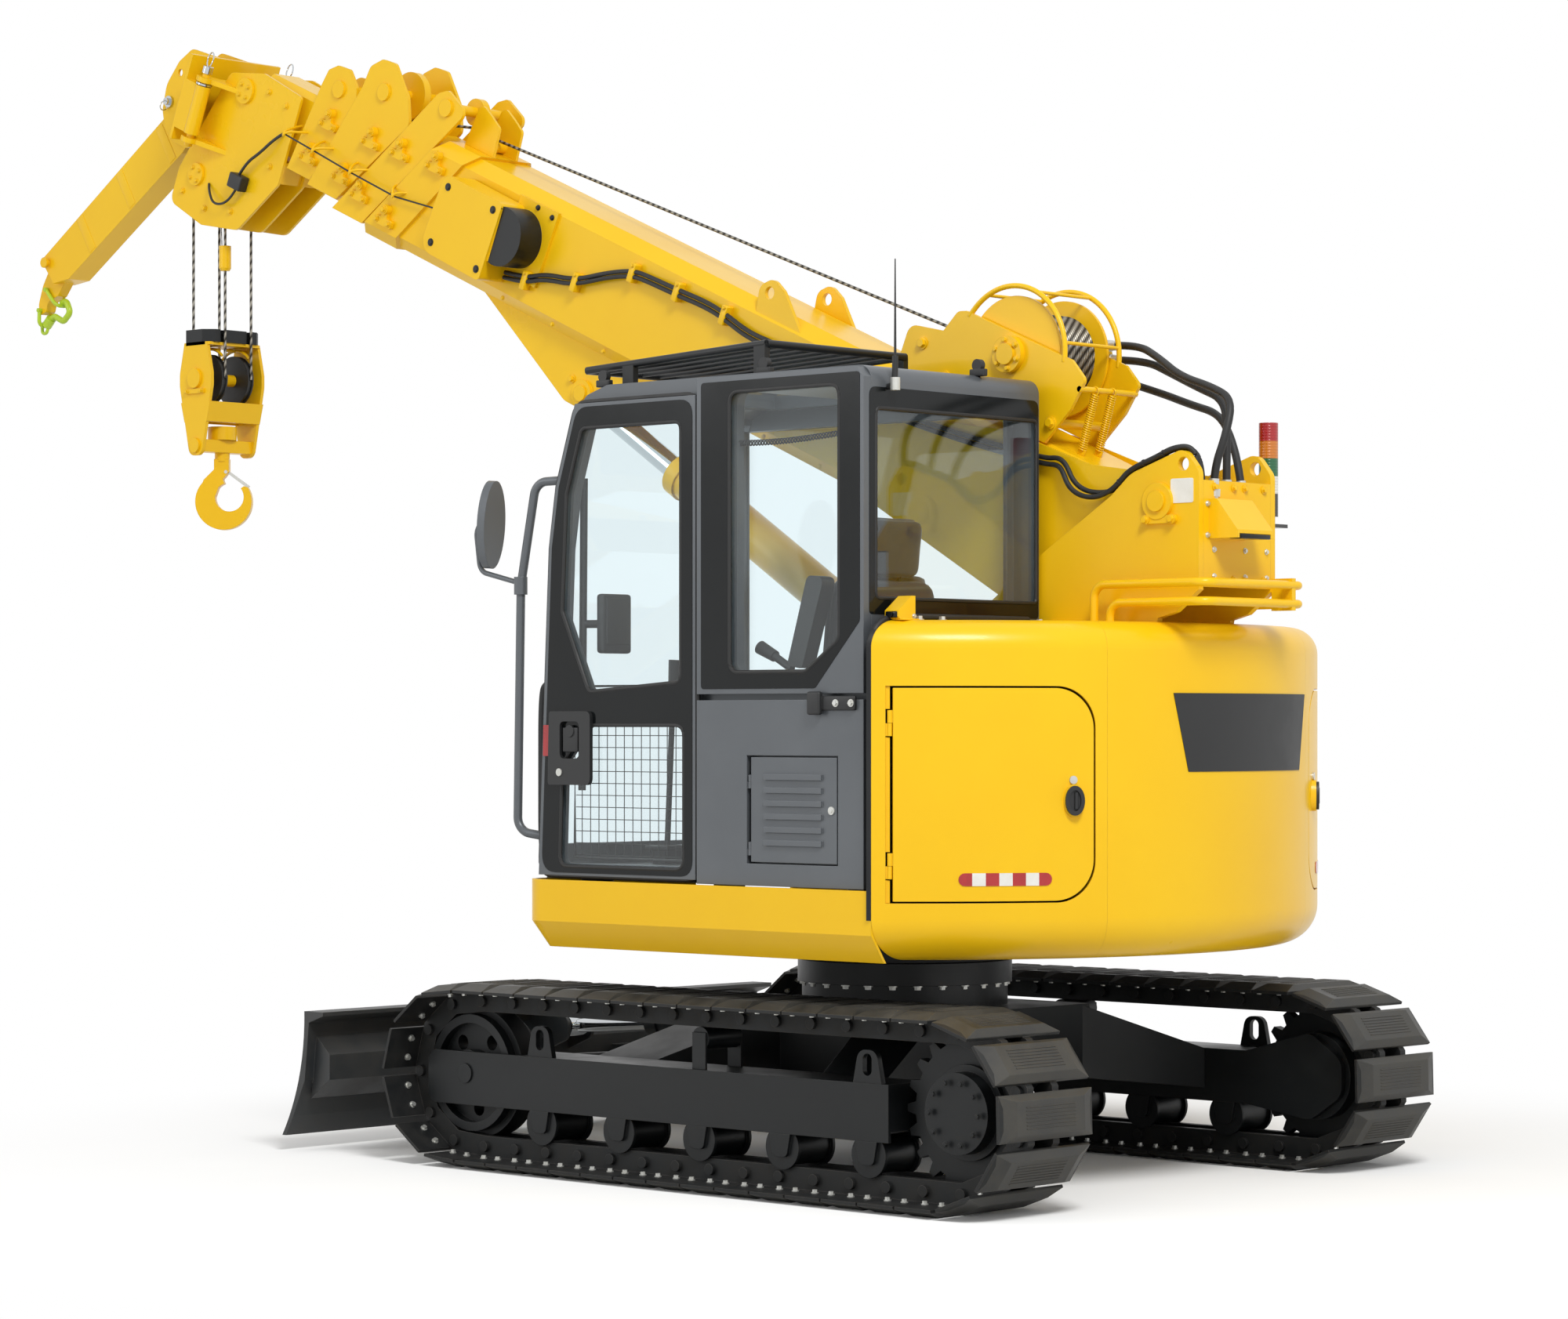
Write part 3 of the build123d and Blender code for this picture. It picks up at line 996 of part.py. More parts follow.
def winch_frame():
    """The winch's low side plates with their tube guards, the motor outside and the rope's rollers."""
    u, v = WINCH_AXIS
    top = TUBE_MIDDLE + BASE_HEIGHT / 2
    cheek = outline((1270, top), (1270, 150, 40), (1120, 180), (1085, 262, 30), (1050, 276), (560, 280, 20),
                    (480, 240, 20),
                    (500, 130, 40), (560, top)) - Pos(*WINCH_AXIS) * Circle(JOURNAL)
    frame = Part()
    ring = DRUM_FLANGE + 32
    arc = revolve(Plane.XZ * (Pos(ring, 0) * Circle(GUARD_TUBE)), Axis.Z, 152)
    for side in (-1, 1):
        frame += across(cheek, *sorted((side * (WINCH_HALF - WINCH_PLATE), side * WINCH_HALF)))
        frame += Pos(u, side * (WINCH_HALF - WINCH_PLATE / 2), v) * Rot(90, 0, 14) * arc
    for turn in (40, 95, 150):
        x, z = u + ring * math.cos(math.radians(turn)), v + ring * math.sin(math.radians(turn))
        frame += rod((x, WINCH_PLATE / 2 - WINCH_HALF, z), (x, WINCH_HALF - WINCH_PLATE / 2, z),
                     GUARD_TUBE - 3)
    frame += rod((ROPE_ROLLER[0], -WINCH_HALF, ROPE_ROLLER[1]), (ROPE_ROLLER[0], WINCH_HALF, ROPE_ROLLER[1]),
                 16)
    frame += rod((ROPE_ROLLER[0], -30, ROPE_ROLLER[1]), (ROPE_ROLLER[0], 30, ROPE_ROLLER[1]),
                 ROPE_ROLLER_RADIUS)
    frame += rod((560, -WINCH_HALF, 60), (560, WINCH_HALF, 60), 16)
    motor = rod((u, -WINCH_HALF, v), (u, -WINCH_HALF - 130, v), 95)
    motor += rod((u, -WINCH_HALF, v), (u, -WINCH_HALF - 30, v), 118)
    return frame + (motor - rod((u, -WINCH_HALF + 1, v), (u, -WINCH_HALF - 12, v), JOURNAL + 4))


def winch_drum():
    """The drum full of rope between its flanges, on journals in the side plates."""
    x, z = WINCH_AXIS
    half = WINCH_HALF - WINCH_PLATE - 6
    drum = rod((x, -half, z), (x, half, z), DRUM_RADIUS)
    for side in (-1, 1):
        drum += rod((x, side * (half - 12), z), (x, side * half, z), DRUM_FLANGE)
        drum += rod((x, 0, z), (x, side * (WINCH_HALF + 6), z), JOURNAL - PIN_CLEARANCE)
    return drum


def rope_normal(start, start_radius, end, end_radius):
    """Which way a rope stands off two rollers that it runs over, from the first to the second."""
    span = end - start
    turn = math.atan2(span.Z, span.X) + math.acos((start_radius - end_radius) / span.length)
    return Vector(math.cos(turn), 0, math.sin(turn))


def hoist_rope():
    """The rope's run from the drum's top over the front roller to the guide roller on the base."""
    drum, roller, guide = [Vector(u, 0, v) for u, v in (WINCH_AXIS, ROPE_ROLLER, GUIDE_ROLLER)]
    on_drum, on_roller, on_guide = [radius + ROPE_RADIUS + RUNNING_GAP
                                    for radius in (DRUM_RADIUS, ROPE_ROLLER_RADIUS, GUIDE_RADIUS)]
    first = rope_normal(drum, on_drum, roller, on_roller)
    second = rope_normal(roller, on_roller, guide, on_guide)
    bend = roller + (first + second) * (on_roller / (1 + first.dot(second)))
    return pipe([drum + first * on_drum, bend, guide + second * on_guide], ROPE_RADIUS, on_roller)


def length_reel():
    """The boom-length reel in its box on the left side of the base."""
    half = BASE_WIDTH / 2
    box = across(outline((3195, -83, 20), (3538, -79, 40), (3564, -382, 60), (3207, -388, 20)), half + 10,
                 half + 130)
    box += across(outline((3019, -50), (3240, -50), (3240, -343), (3034, -343)), half, half + 12)
    return box + rod((3171, half, -200), (3171, half + 120, -200), 110)


BLOCK_AXIS_Z = 2915
BLOCK_HALF = 138
HOOK_TURN = 222.9
head_x, head_z = boom_point(*HEAD_SHEAVE)


def hook_block():
    """The hook block's side plates, top buffer plate, sheave pin and the cross-head below."""
    cheek = outline((-70, 145), (70, 145), (99, 20, 60), (99, -30, 60), (38, -310, 36), (-38, -310, 36),
                    (-99, -30, 60), (-99, 20, 60))
    body = across(cheek, -BLOCK_HALF, 14 - BLOCK_HALF) + across(cheek, BLOCK_HALF - 14, BLOCK_HALF)
    body += rod((0, -BLOCK_HALF, 0), (0, BLOCK_HALF, 0), 24)
    body += across(outline((-92, -95), (-50, -95), (-50, -175), (-70, -175)), -BLOCK_HALF, BLOCK_HALF)
    body += across(outline((92, -95), (50, -95), (50, -175), (70, -175)), -BLOCK_HALF, BLOCK_HALF)
    cross_head = block((-34, 34), (14 - BLOCK_HALF, BLOCK_HALF - 14), (-295, -245))
    body += cross_head - rod((0, 0, -400), (0, 0, -200), 30.3)
    return body


def block_buffer():
    """The dark pad over the block, on its flange, slotted for the falls."""
    pad = Rectangle(180, 292)
    pad = chamfer(pad.vertices(), 40)
    for y in (-SHEAVE_Y, SHEAVE_Y):
        for x in (-SHEAVE_PITCH, SHEAVE_PITCH):
            pad -= Pos(x, y) * Rectangle(70, 30)
    return upright(pad, 145, 195)


def in_block(shape):
    """Moves a shape from the block's own frame to its place under the head."""
    return Pos(head_x, BOOM_Y, BLOCK_AXIS_Z) * shape


def falls():
    """The four vertical falls of rope between the head's sheaves and the block's."""
    return [rod((head_x + x, BOOM_Y + y, BLOCK_AXIS_Z), (head_x + x, BOOM_Y + y, head_z), ROPE_RADIUS)
            for x in (-SHEAVE_PITCH, SHEAVE_PITCH) for y in (-SHEAVE_Y, SHEAVE_Y)]


def hook():
    """The swivelling load hook with its nut above the cross-head."""
    shank = rod((0, 0, -330), (0, 0, -190), 30) + rod((0, 0, -244), (0, 0, -190), 58)
    bowl = Pos(8, -492) * Circle(114) - Pos(32, -474) * Circle(58)
    bowl -= make_face(Polyline((32, -474), (-20, -330), (150, -330), (150, -446), (90, -430), close=True))
    bowl += make_face(Polyline((-30, -320), (30, -320), (30, -372), (-4, -414), (-26, -474), (-106, -492),
                               (-72, -404),
                               (-30, -362), close=True))
    body = shank + across(bowl, -26, 26)
    return Rot(0, 0, HOOK_TURN) * body


def luff_eye():
    """Where the luffing cylinder's rod eye rests: beside the knee's hole, turned down about the foot."""
    x, z = boom_point(*KNEE)
    length = math.hypot(x - LUFF_FOOT[0], z - LUFF_FOOT[1]) - LUFF_SHORT
    turn = math.atan2(z - LUFF_FOOT[1], x - LUFF_FOOT[0]) - math.radians(LUFF_DRIFT)
    return LUFF_FOOT[0] + length * math.cos(turn), LUFF_FOOT[1] + length * math.sin(turn)


def luff_barrel():
    """The luffing cylinder's barrel on its foot pin between the mounting plates."""
    width = 2 * bracket_half - 12
    barrel = cylinder_barrel(LUFF_FOOT, luff_eye(), LUFF_BARREL, LUFF_BARREL_RADIUS, 70, LUFF_PIN_RADIUS,
                             width)
    return Pos(0, BOOM_Y, 0) * bored(barrel, LUFF_FOOT, luff_eye(), 600, LUFF_ROD_RADIUS)


def luff_rod():
    """The luffing cylinder's bright rod."""
    eye = luff_eye()
    length = math.hypot(eye[0] - LUFF_FOOT[0], eye[1] - LUFF_FOOT[1])
    return Pos(0, BOOM_Y, 0) * cylinder_rod(LUFF_FOOT, eye, length - LUFF_ROD, LUFF_ROD_RADIUS,
                                            LUFF_EYE_RADIUS,
                                            LUFF_PIN_RADIUS, 2 * KNEE_HALF - 8)


def blade_barrel():
    """The blade cylinder's barrel on the car body."""
    barrel = cylinder_barrel(blade_foot, blade_eye, BLADE_BORE_LENGTH, 48, 42, BLADE_PIN_RADIUS, 100)
    return bored(barrel, blade_foot, blade_eye, 120, 26)


def blade_rod():
    """The blade cylinder's bright rod."""
    return cylinder_rod(blade_foot, blade_eye, 500, 26, 40, BLADE_PIN_RADIUS, 90)


MIRROR_TUBE = 15
GUARD_RAIL = 13
GUARD_BARS = 8


def mirror_stay():
    """The bent tube on the cab's front corner, with the mirror on its own cranked arm."""
    y = CAB_LEFT - 25
    stay = pipe([(CAB_FRONT - 130, y - 30, 2345), (700, y, 2340), (774, y, 1992), (790, y, 1160),
                 (CAB_FRONT - 10, y - 30, 1140)],
                MIRROR_TUBE, 55)
    stay += rod((775, y, 1962), (775, y, 2022), MIRROR_TUBE + 8)
    arm = pipe([(774, y, 2000), (975, y, 2045), (1000, y, 2215), (915, y, 2215)], 9, 45)
    face = Ellipse(75, 150)
    glass = Pos(922, y, 2204) * Rot(0, -4, 18) * extrude(Plane.YZ.offset(-14) * face, amount=28)
    return stay + arm + glass - across(outline(*cab_profile), CAB_RIGHT, CAB_LEFT)


def roof_guard():
    """The barred guard over the cab's roof light, on four feet and rising to the rear."""
    front, rear = Vector(534, 0, 2712), Vector(-292, 0, 2752)
    right, left = CAB_RIGHT + 80, CAB_LEFT - 105
    guard = Part()
    for y in (right, left):
        guard += rod((front.X, y, front.Z), (rear.X, y, rear.Z), GUARD_RAIL)
        for x in (330, -270):
            z = front.Z + (rear.Z - front.Z) * (front.X - x) / (front.X - rear.X)
            guard += block((x - 25, x + 25), (y - 12, y + 12), (CAB_ROOF - 2, z))
    for end in (front, rear):
        guard += rod((end.X, right, end.Z), (end.X, left, end.Z), GUARD_RAIL)
    for i in range(1, GUARD_BARS):
        y = right + (left - right) * i / GUARD_BARS
        guard += rod((front.X, y, front.Z), (rear.X, y, rear.Z), 8)
    return guard - across(outline(*cab_profile), CAB_RIGHT, CAB_LEFT)


def signal_tower():
    """The four-lamp warning column on a small shelf outside the boom mounting's right plate."""
    x, y, z = -1322, -307, 2180
    plate = BOOM_Y - bracket_half - BRACKET_PLATE
    shelf = block((x - 45, x + 45), (y - 45, plate), (z - 12, z))
    return shelf + rod((x, y, z), (x, y, z + 25), 22) + rod((x, y, z + 25), (x, y, z + 334), 32)


def handrail():
    """The two-tube rail that runs round the rear of the boom's mounting, standing on the roof."""
    near, far = BOOM_Y + bracket_half + 82, BOOM_Y - bracket_half - 82
    rear = BRACKET_REAR - 72
    solids = []
    for start, z in ((-1075, HOUSE_TOP + 122), (-1140, HOUSE_TOP + 62)):
        solids.append(pipe([(start, near, HOUSE_TOP), (start, near, z), (rear, near, z), (rear, far, z),
                            (start, far, z),
                            (start, far, HOUSE_TOP)], 14, 45))
    plate = BOOM_Y - bracket_half - BRACKET_PLATE
    clamp = block((rear - 10, BRACKET_REAR), (plate, plate + BRACKET_PLATE - 5),
                  (HOUSE_TOP + 40, HOUSE_TOP + 144))
    return [solids[0] + solids[1] + clamp]


def write_parts():
    """Builds every node and writes it."""
    os.makedirs("parts", exist_ok=True)
    for name, side in (("left", 1), ("right", -1)):
        save([track(side)], f"track_{name}")
        save([track_frame(side)], f"track_frame_{name}")
        save([*rollers(side), idler(side), sprocket(side)], f"running_gear_{name}")
        save([skirt(side)], f"skirt_{name}")
        save([cowl(side)], f"cowl_{name}")
        save([service_door(side)], f"service_door_{name}")
    save([car_body()], "car_body")
    save([slew_ring()], "slew_ring")
    save([blade()], "blade")
    save([blade_barrel()], "blade_barrel")
    save([blade_rod()], "blade_rod")
    save([deck()], "deck")
    save([counterweight()], "counterweight")
    save([hood_top()], "hood_top")
    save([firewall(1), firewall(-1)], "firewall")
    save([engine()], "engine")
    save([right_cover()], "right_cover")
    save([cab_frame()], "cab_frame")
    save([cab_door()], "cab_door")
    save([cab_quarter()], "cab_quarter")
    save([cab_side_panel()], "cab_side_panel")
    save([cab_hatch()], "cab_hatch")
    save(cab_glass(), "cab_glass")
    save([seat()], "seat")
    save(controls(), "controls")
    save([mirror_stay()], "mirror_stay")
    save([roof_guard()], "roof_guard")
    save([signal_tower()], "signal_tower")
    save(handrail(), "handrail")
    save([bracket_plate(1)], "bracket_plate_left")
    save([bracket_plate(-1)], "bracket_plate_right")
    save(bracket_ties(), "bracket_ties")
    save([luff_barrel()], "luff_barrel")
    save([luff_rod()], "luff_rod")
    save([on_boom(boom_base())], "boom_base")
    save([on_boom(rope_guide())], "rope_guide")
    save([on_boom(length_reel())], "length_reel")
    save([on_boom(winch_frame())], "winch_frame")
    save([on_boom(winch_drum())], "winch_drum")
    save([on_boom(hoist_rope())], "hoist_rope")
    save([on_boom(boom_2())], "boom_2")
    save([on_boom(boom_3())], "boom_3")
    save([on_boom(boom_4())], "boom_4")
    save([on_boom(boom_5())], "boom_5")
    save([on_boom(wheel) for wheel in head_sheaves()], "head_sheaves")
    save([on_boom(jib_bracket())], "jib_bracket")
    save([on_boom(jib_arm())], "jib_arm")
    save([on_boom(jib_hook())], "jib_hook")
    save([in_block(hook_block())], "hook_block")
    save([in_block(block_buffer())], "block_buffer")
    save([in_block(sheave((0, y, 0), SHEAVE_RIM - 15, SHEAVE_PITCH)) for y in (-SHEAVE_Y, SHEAVE_Y)],
         "block_sheaves")
    save(falls(), "hoist_falls")
    save([in_block(hook())], "hook")


write_parts()
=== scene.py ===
import math
import bmesh
import bpy
from mathutils import Matrix, Vector


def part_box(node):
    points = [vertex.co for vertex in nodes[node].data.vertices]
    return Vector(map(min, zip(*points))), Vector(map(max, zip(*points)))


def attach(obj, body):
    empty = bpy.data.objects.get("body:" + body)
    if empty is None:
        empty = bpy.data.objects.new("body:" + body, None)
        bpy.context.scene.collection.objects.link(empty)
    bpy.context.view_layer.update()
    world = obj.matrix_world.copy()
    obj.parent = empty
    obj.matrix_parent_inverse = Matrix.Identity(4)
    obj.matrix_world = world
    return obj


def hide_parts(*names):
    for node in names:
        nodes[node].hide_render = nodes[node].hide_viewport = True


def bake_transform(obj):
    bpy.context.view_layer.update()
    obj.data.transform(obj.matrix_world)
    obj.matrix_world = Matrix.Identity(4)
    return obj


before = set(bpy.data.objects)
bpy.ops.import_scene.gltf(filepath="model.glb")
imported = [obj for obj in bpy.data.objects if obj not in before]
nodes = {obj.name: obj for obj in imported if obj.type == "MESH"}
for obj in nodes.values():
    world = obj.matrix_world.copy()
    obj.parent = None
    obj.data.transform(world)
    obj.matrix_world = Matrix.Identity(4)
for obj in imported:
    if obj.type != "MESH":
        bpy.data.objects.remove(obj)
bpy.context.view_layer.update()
mm = 0.001
bothSides = (("left", 1), ("right", -1))
print("frame loaded:", len(nodes), "solids")

camera = {"place": (-9.4092, 10.7384, 1.5221), "forward": (0.6807, -0.7325, 0.0), "sensor": 36.0,
    "lens": 94.83, "shiftY": 0.0414, "reach": 200.0}
eye = bpy.data.objects.new("photoCamera", bpy.data.cameras.new("photoCamera"))
eye.data.sensor_width = camera["sensor"]
eye.data.lens = camera["lens"]
eye.data.shift_y = camera["shiftY"]
eye.data.clip_end = camera["reach"]
eye.location = camera["place"]
eye.rotation_euler = Vector(camera["forward"]).to_track_quat("-Z", "Y").to_euler()
bpy.context.collection.objects.link(eye)
bpy.context.scene.camera = eye
bpy.context.scene.view_settings.view_transform = "Standard"
print("camera set")


def linear(hexText):
    channels = [int(hexText[i:i + 2], 16) / 255 for i in (1, 3, 5)]
    return [c / 12.92 if c <= 0.04045 else ((c + 0.055) / 1.055) ** 2.4 for c in channels] + [1.0]


def addNode(tree, kind, inputs=None, **settings):
    node = tree.nodes.new("ShaderNode" + kind)
    for key, value in settings.items():
        setattr(node, key, value)
    for key, value in (inputs or {}).items():
        if isinstance(value, bpy.types.NodeSocket):
            tree.links.new(value, node.inputs[key])
        else:
            node.inputs[key].default_value = value
    return node


def newMaterial(name):
    made = bpy.data.materials.new(name)
    made.use_nodes = True
    tree = made.node_tree
    tree.nodes.remove(tree.nodes["Principled BSDF"])
    return made, tree, tree.nodes["Material Output"]


def placeIn(tree):
    return addNode(tree, "TexCoord").outputs["Object"]


def ranged(tree, value, low, high, toLow, toHigh):
    return addNode(tree, "MapRange", {"Value": value, 1: low, 2: high, 3: toLow, 4: toHigh}).outputs[0]


def mixed(tree, share, first, second):
    return addNode(tree, "Mix", {0: share, 6: first, 7: second}, data_type="RGBA").outputs[2]


def reckoned(tree, operation, first, second):
    return addNode(tree, "Math", {0: first, 1: second}, operation=operation).outputs[0]


def noise(tree, place, sizeMm, detail, **more):
    inputs = {"Vector": place, "Scale": 1000 / sizeMm, "Detail": detail, **more}
    return addNode(tree, "TexNoise", inputs).outputs["Fac"]


def seenRay(tree):  # 1 where the ray comes from the eye, straight or by way of glass or gloss
    ray = addNode(tree, "LightPath")
    direct = reckoned(tree, "ADD", ray.outputs["Is Camera Ray"], ray.outputs["Is Transmission Ray"])
    return reckoned(tree, "MAXIMUM", direct, ray.outputs["Is Glossy Ray"])


coat = {"cloudDetail": 5.0, "cloudRough": 0.6, "grainDetail": 2.0, "drift": (0.3, 0.7), "patch": (0.35, 0.75),
    "rubAndSheen": (0.93, 0.75, 0.0, 0.55)}


# A coat or skin: two close colours in patches, a fine grain in the bump, roughness that drifts, rubbed edges;
# on the rubber pads the pale edge colour is partly painted sheen
def coated(name, colour, patch, patchMm, rough, grainMm, grainMicrons, edge=None, **settings):
    made, tree, output = newMaterial(name)
    place = placeIn(tree)
    cloud = noise(tree, place, patchMm, coat["cloudDetail"], Roughness=coat["cloudRough"])
    speck = noise(tree, place, grainMm, coat["grainDetail"])
    drift = ranged(tree, cloud, *coat["drift"], *rough)
    share = ranged(tree, cloud, *coat["patch"], 0.0, 1.0)
    paint = mixed(tree, share, linear(colour), linear(patch))
    bump = addNode(tree, "Bump", {"Height": speck, "Strength": 1.0, "Distance": grainMicrons * 1e-6})
    if edge:
        hexEdge, edgeMm = edge
        soft = addNode(tree, "Bevel", {"Radius": edgeMm * mm}, samples=4).outputs[0]
        tree.links.new(soft, bump.inputs["Normal"])
        plain = addNode(tree, "NewGeometry").outputs["Normal"]
        bend = addNode(tree, "VectorMath", {0: soft, 1: plain}, operation="DOT_PRODUCT")
        # edge colour where the bevelled normal bends: rubbed wear, and on the rubber pads partly painted
        # sheen
        wearAndSheen = ranged(tree, bend.outputs["Value"], *coat["rubAndSheen"])
        paint = mixed(tree, reckoned(tree, "MULTIPLY", wearAndSheen, cloud), paint, linear(hexEdge))
    look = {"Base Color": paint, "Roughness": drift, "Normal": bump.outputs[0], **settings}
    shader = addNode(tree, "BsdfPrincipled", look)
    tree.links.new(shader.outputs[0], output.inputs["Surface"])
    return made


yellowEnamel = coated(  # warm gloss with orange peel
    "yellowEnamelSprayed", "#F4C40F", "#F0BC0C", 900, (0.26, 0.36), 2.5, 25, ("#C99A1C", 3),
    **{"Specular IOR Level": 0.3, "Coat Weight": 0.08, "Coat Roughness": 0.1})
blackEnamel = coated(  # satin, a little dusty
    "blackEnamelBrushed", "#101315", "#191B1C", 260, (0.32, 0.5), 3, 40, ("#5B5952", 3),
    **{"Specular IOR Level": 0.38})
bladeEnamel = coated(  # scoured paler by soil
    "blackEnamelRolled", "#2B2E30", "#3A3937", 180, (0.36, 0.56), 3, 40, ("#6A675F", 4))
silverEnamel = coated(  # cab panels: pale metallic flake
    "greyMetallicEnamelSprayed", "#5C6064", "#63676B", 500, (0.3, 0.42), 2.5, 20, ("#A3A7AB", 3),
    **{"Metallic": 0.25})
padRubber = coated(  # black, rubbed and dusty; the pale edge colour is partly dust and partly painted sheen
    "rubberPadMoulded", "#2B2B29", "#45433D", 120, (0.4, 0.66), 4, 160, ("#8C8676", 5))
shoeSteel = coated(  # black paint rubbed to dull steel
    "rolledSteelPainted", "#1E2021", "#2D2C2A", 70, (0.5, 0.72), 3, 90, ("#8A8177", 3), **{"Metallic": 0.35})
boltZinc = coated(  # small glints
    "zincPlatedSteelTurned", "#D2D3CF", "#C4C3BB", 30, (0.28, 0.42), 1, 15, None, **{"Metallic": 0.6})
chromeRod = coated(  # mirror bar
    "chromedSteelGround", "#C9CCCE", "#BFC3C6", 200, (0.06, 0.12), 0.8, 3, None, **{"Metallic": 1.0})
blackPlastic = coated(  # fine grain
    "polypropyleneMoulded", "#1B1C1D", "#232425", 150, (0.45, 0.55), 1.2, 60, ("#3C3D3E", 2))
hoseRubber = coated(  # soft black sheen
    "hoseRubberExtruded", "#161616", "#202020", 90, (0.5, 0.64), 2, 60)
limeEnamel = coated(  # bright hook
    "limePowderCoatBaked", "#B7D331", "#A9C627", 60, (0.3, 0.4), 1.5, 30, ("#6F7A3A", 2))
whiteVinyl = coated(  # bare plate, a little yellowed
    "whiteVinylPrinted", "#E9E8E2", "#DEDCD4", 60, (0.35, 0.45), 1, 8)
redVinyl = coated(  # prisms under a clear face
    "redReflectorMoulded", "#B3161B", "#9C1015", 40, (0.18, 0.28), 3, 120, None,
    **{"Coat Weight": 0.6, "Coat Roughness": 0.05})
seatCloth = coated(  # napped
    "seatClothWoven", "#1D1E20", "#2B2C2F", 60, (0.82, 0.95), 2.2, 350, None, **{"Sheen Weight": 0.4})
frit = coated(  # black glass edge
    "ceramicFritFired", "#0E1112", "#121516", 300, (0.1, 0.16), 40, 4, None, **{"Specular IOR Level": 0.3})
print("plain materials made")

rope = {"strandMm": 60, "deepMm": 1.2, "gap": "#2E2B26", "crown": "#9A968C"}
wireRope, tree, output = newMaterial("steelRopeLaid")  # twisted strands: bright crowns, greasy gaps
lay = {"Vector": placeIn(tree), "Scale": 1000 / rope["strandMm"], "Distortion": 0.6, "Detail": 1.0}
strands = addNode(tree, "TexWave", lay, bands_direction="DIAGONAL").outputs["Fac"]
crowns = mixed(tree, strands, linear(rope["gap"]), linear(rope["crown"]))
bump = addNode(tree, "Bump", {"Height": strands, "Distance": rope["deepMm"] * mm})
look = {"Base Color": crowns, "Metallic": 0.8, "Roughness": 0.45, "Normal": bump.outputs[0]}
shader = addNode(tree, "BsdfPrincipled", look)
tree.links.new(shader.outputs[0], output.inputs["Surface"])

glass = {"tint": "#F9FDFE", "dustMm": 250, "facing": 0.04, "dustRough": 0.05}
cabGlass, tree, output = newMaterial("tintedGlassFloat")  # nearly clear, sky on its face, faint dust
dustRough = ranged(tree, noise(tree, placeIn(tree), glass["dustMm"], 6.0), 0.4, 0.8, 0.0, glass["dustRough"])
through = addNode(tree, "BsdfTransparent", {"Color": linear(glass["tint"])})
gloss = addNode(tree, "BsdfGlossy", {"Color": linear("#FFFFFF"), "Roughness": dustRough})
slant = addNode(tree, "LayerWeight", {"Blend": 0.5}).outputs["Facing"]
mirror = ranged(tree, reckoned(tree, "POWER", slant, 5.0), 0.0, 1.0, glass["facing"], 1.0)
pane = addNode(tree, "MixShader", {0: mirror, 1: through.outputs[0], 2: gloss.outputs[0]})
tree.links.new(pane.outputs[0], output.inputs["Surface"])

lamps = {"low": 2.18, "high": 2.514, "ribMm": 30, "ribDeep": 0.0008,
    "bands": [(0.0, "#161617"), (0.3, "#D9D9D2"), (0.47, "#17613A"), (0.645, "#C8741A"), (0.82, "#A5161A")]}
lampLens, tree, output = newMaterial("acrylicLensMoulded")  # stacked coloured lenses, ribbed, glossy
place = placeIn(tree)
height = addNode(tree, "SeparateXYZ", {0: place}).outputs["Z"]
bands = addNode(tree, "ValToRGB", {0: ranged(tree, height, lamps["low"], lamps["high"], 0.0, 1.0)})
bands.color_ramp.interpolation = "CONSTANT"
for index, (level, hexText) in enumerate(lamps["bands"]):
    stop = bands.color_ramp.elements[index] if index < 2 else bands.color_ramp.elements.new(level)
    stop.position, stop.color = level, linear(hexText)
lay = {"Vector": place, "Scale": 1000 / lamps["ribMm"]}
ribs = addNode(tree, "TexWave", lay, bands_direction="Z").outputs["Fac"]
bump = addNode(tree, "Bump", {"Height": ribs, "Distance": lamps["ribDeep"]})
look = {"Base Color": bands.outputs[0], "Roughness": 0.18, "Coat Weight": 0.5, "Normal": bump.outputs[0]}
shader = addNode(tree, "BsdfPrincipled", look)
tree.links.new(shader.outputs[0], output.inputs["Surface"])
yellow = (yellowEnamel, "yellow_paint")  # a finish and the slot it goes by
plastic = (blackPlastic, "black_plastic")
rubber = (hoseRubber, "black_plastic")
zinc = (boltZinc, "chromed_rod")
laid = (wireRope, "wire_rope")
chrome = (chromeRod, "chromed_rod")
print("rope, glass and lamp materials made")

finishes = {
    blackEnamel: ["track_frame_left", "track_frame_right", "running_gear_left", "running_gear_right",
                  "car_body", "slew_ring", "deck", "roof_guard", "engine", "firewall",
                  "block_buffer", "blade_barrel"],
    bladeEnamel: ["blade"],
    yellowEnamel: ["skirt_left", "skirt_right", "cowl_left", "cowl_right", "service_door_left",
                   "service_door_right", "counterweight", "hood_top", "right_cover", "bracket_plate_left",
                   "bracket_plate_right", "bracket_ties", "luff_barrel", "boom_base", "length_reel",
                   "handrail", "winch_drum", "boom_2", "boom_3", "boom_4", "boom_5", "jib_bracket",
                   "jib_arm", "hook_block", "hook", "rope_guide", "winch_frame"],
    silverEnamel: ["cab_frame", "cab_door", "cab_quarter", "cab_side_panel", "cab_hatch", "mirror_stay"],
    shoeSteel: ["track_left", "track_right"],
    chromeRod: ["luff_rod", "blade_rod"],
    blackPlastic: ["controls", "head_sheaves", "block_sheaves"],
    wireRope: ["hoist_rope", "hoist_falls"],
    cabGlass: ["cab_glass"], seatCloth: ["seat"], lampLens: ["signal_tower"], limeEnamel: ["jib_hook"]}
for finish, names in finishes.items():
    for name in names:
        nodes[name].data.materials.clear()
        nodes[name].data.materials.append(finish)
bare = sorted(set(nodes) - {name for names in finishes.values() for name in names})
print("solids given finishes, left bare:", bare)


def circle(count, first=0.0):
    turns = [first + 2 * math.pi * k / count for k in range(count)]
    return [(math.cos(turn), math.sin(turn)) for turn in turns]


make = {"sharp": 32, "washerHigh": 0.3, "washerWide": 1.35, "headTaper": 0.93}


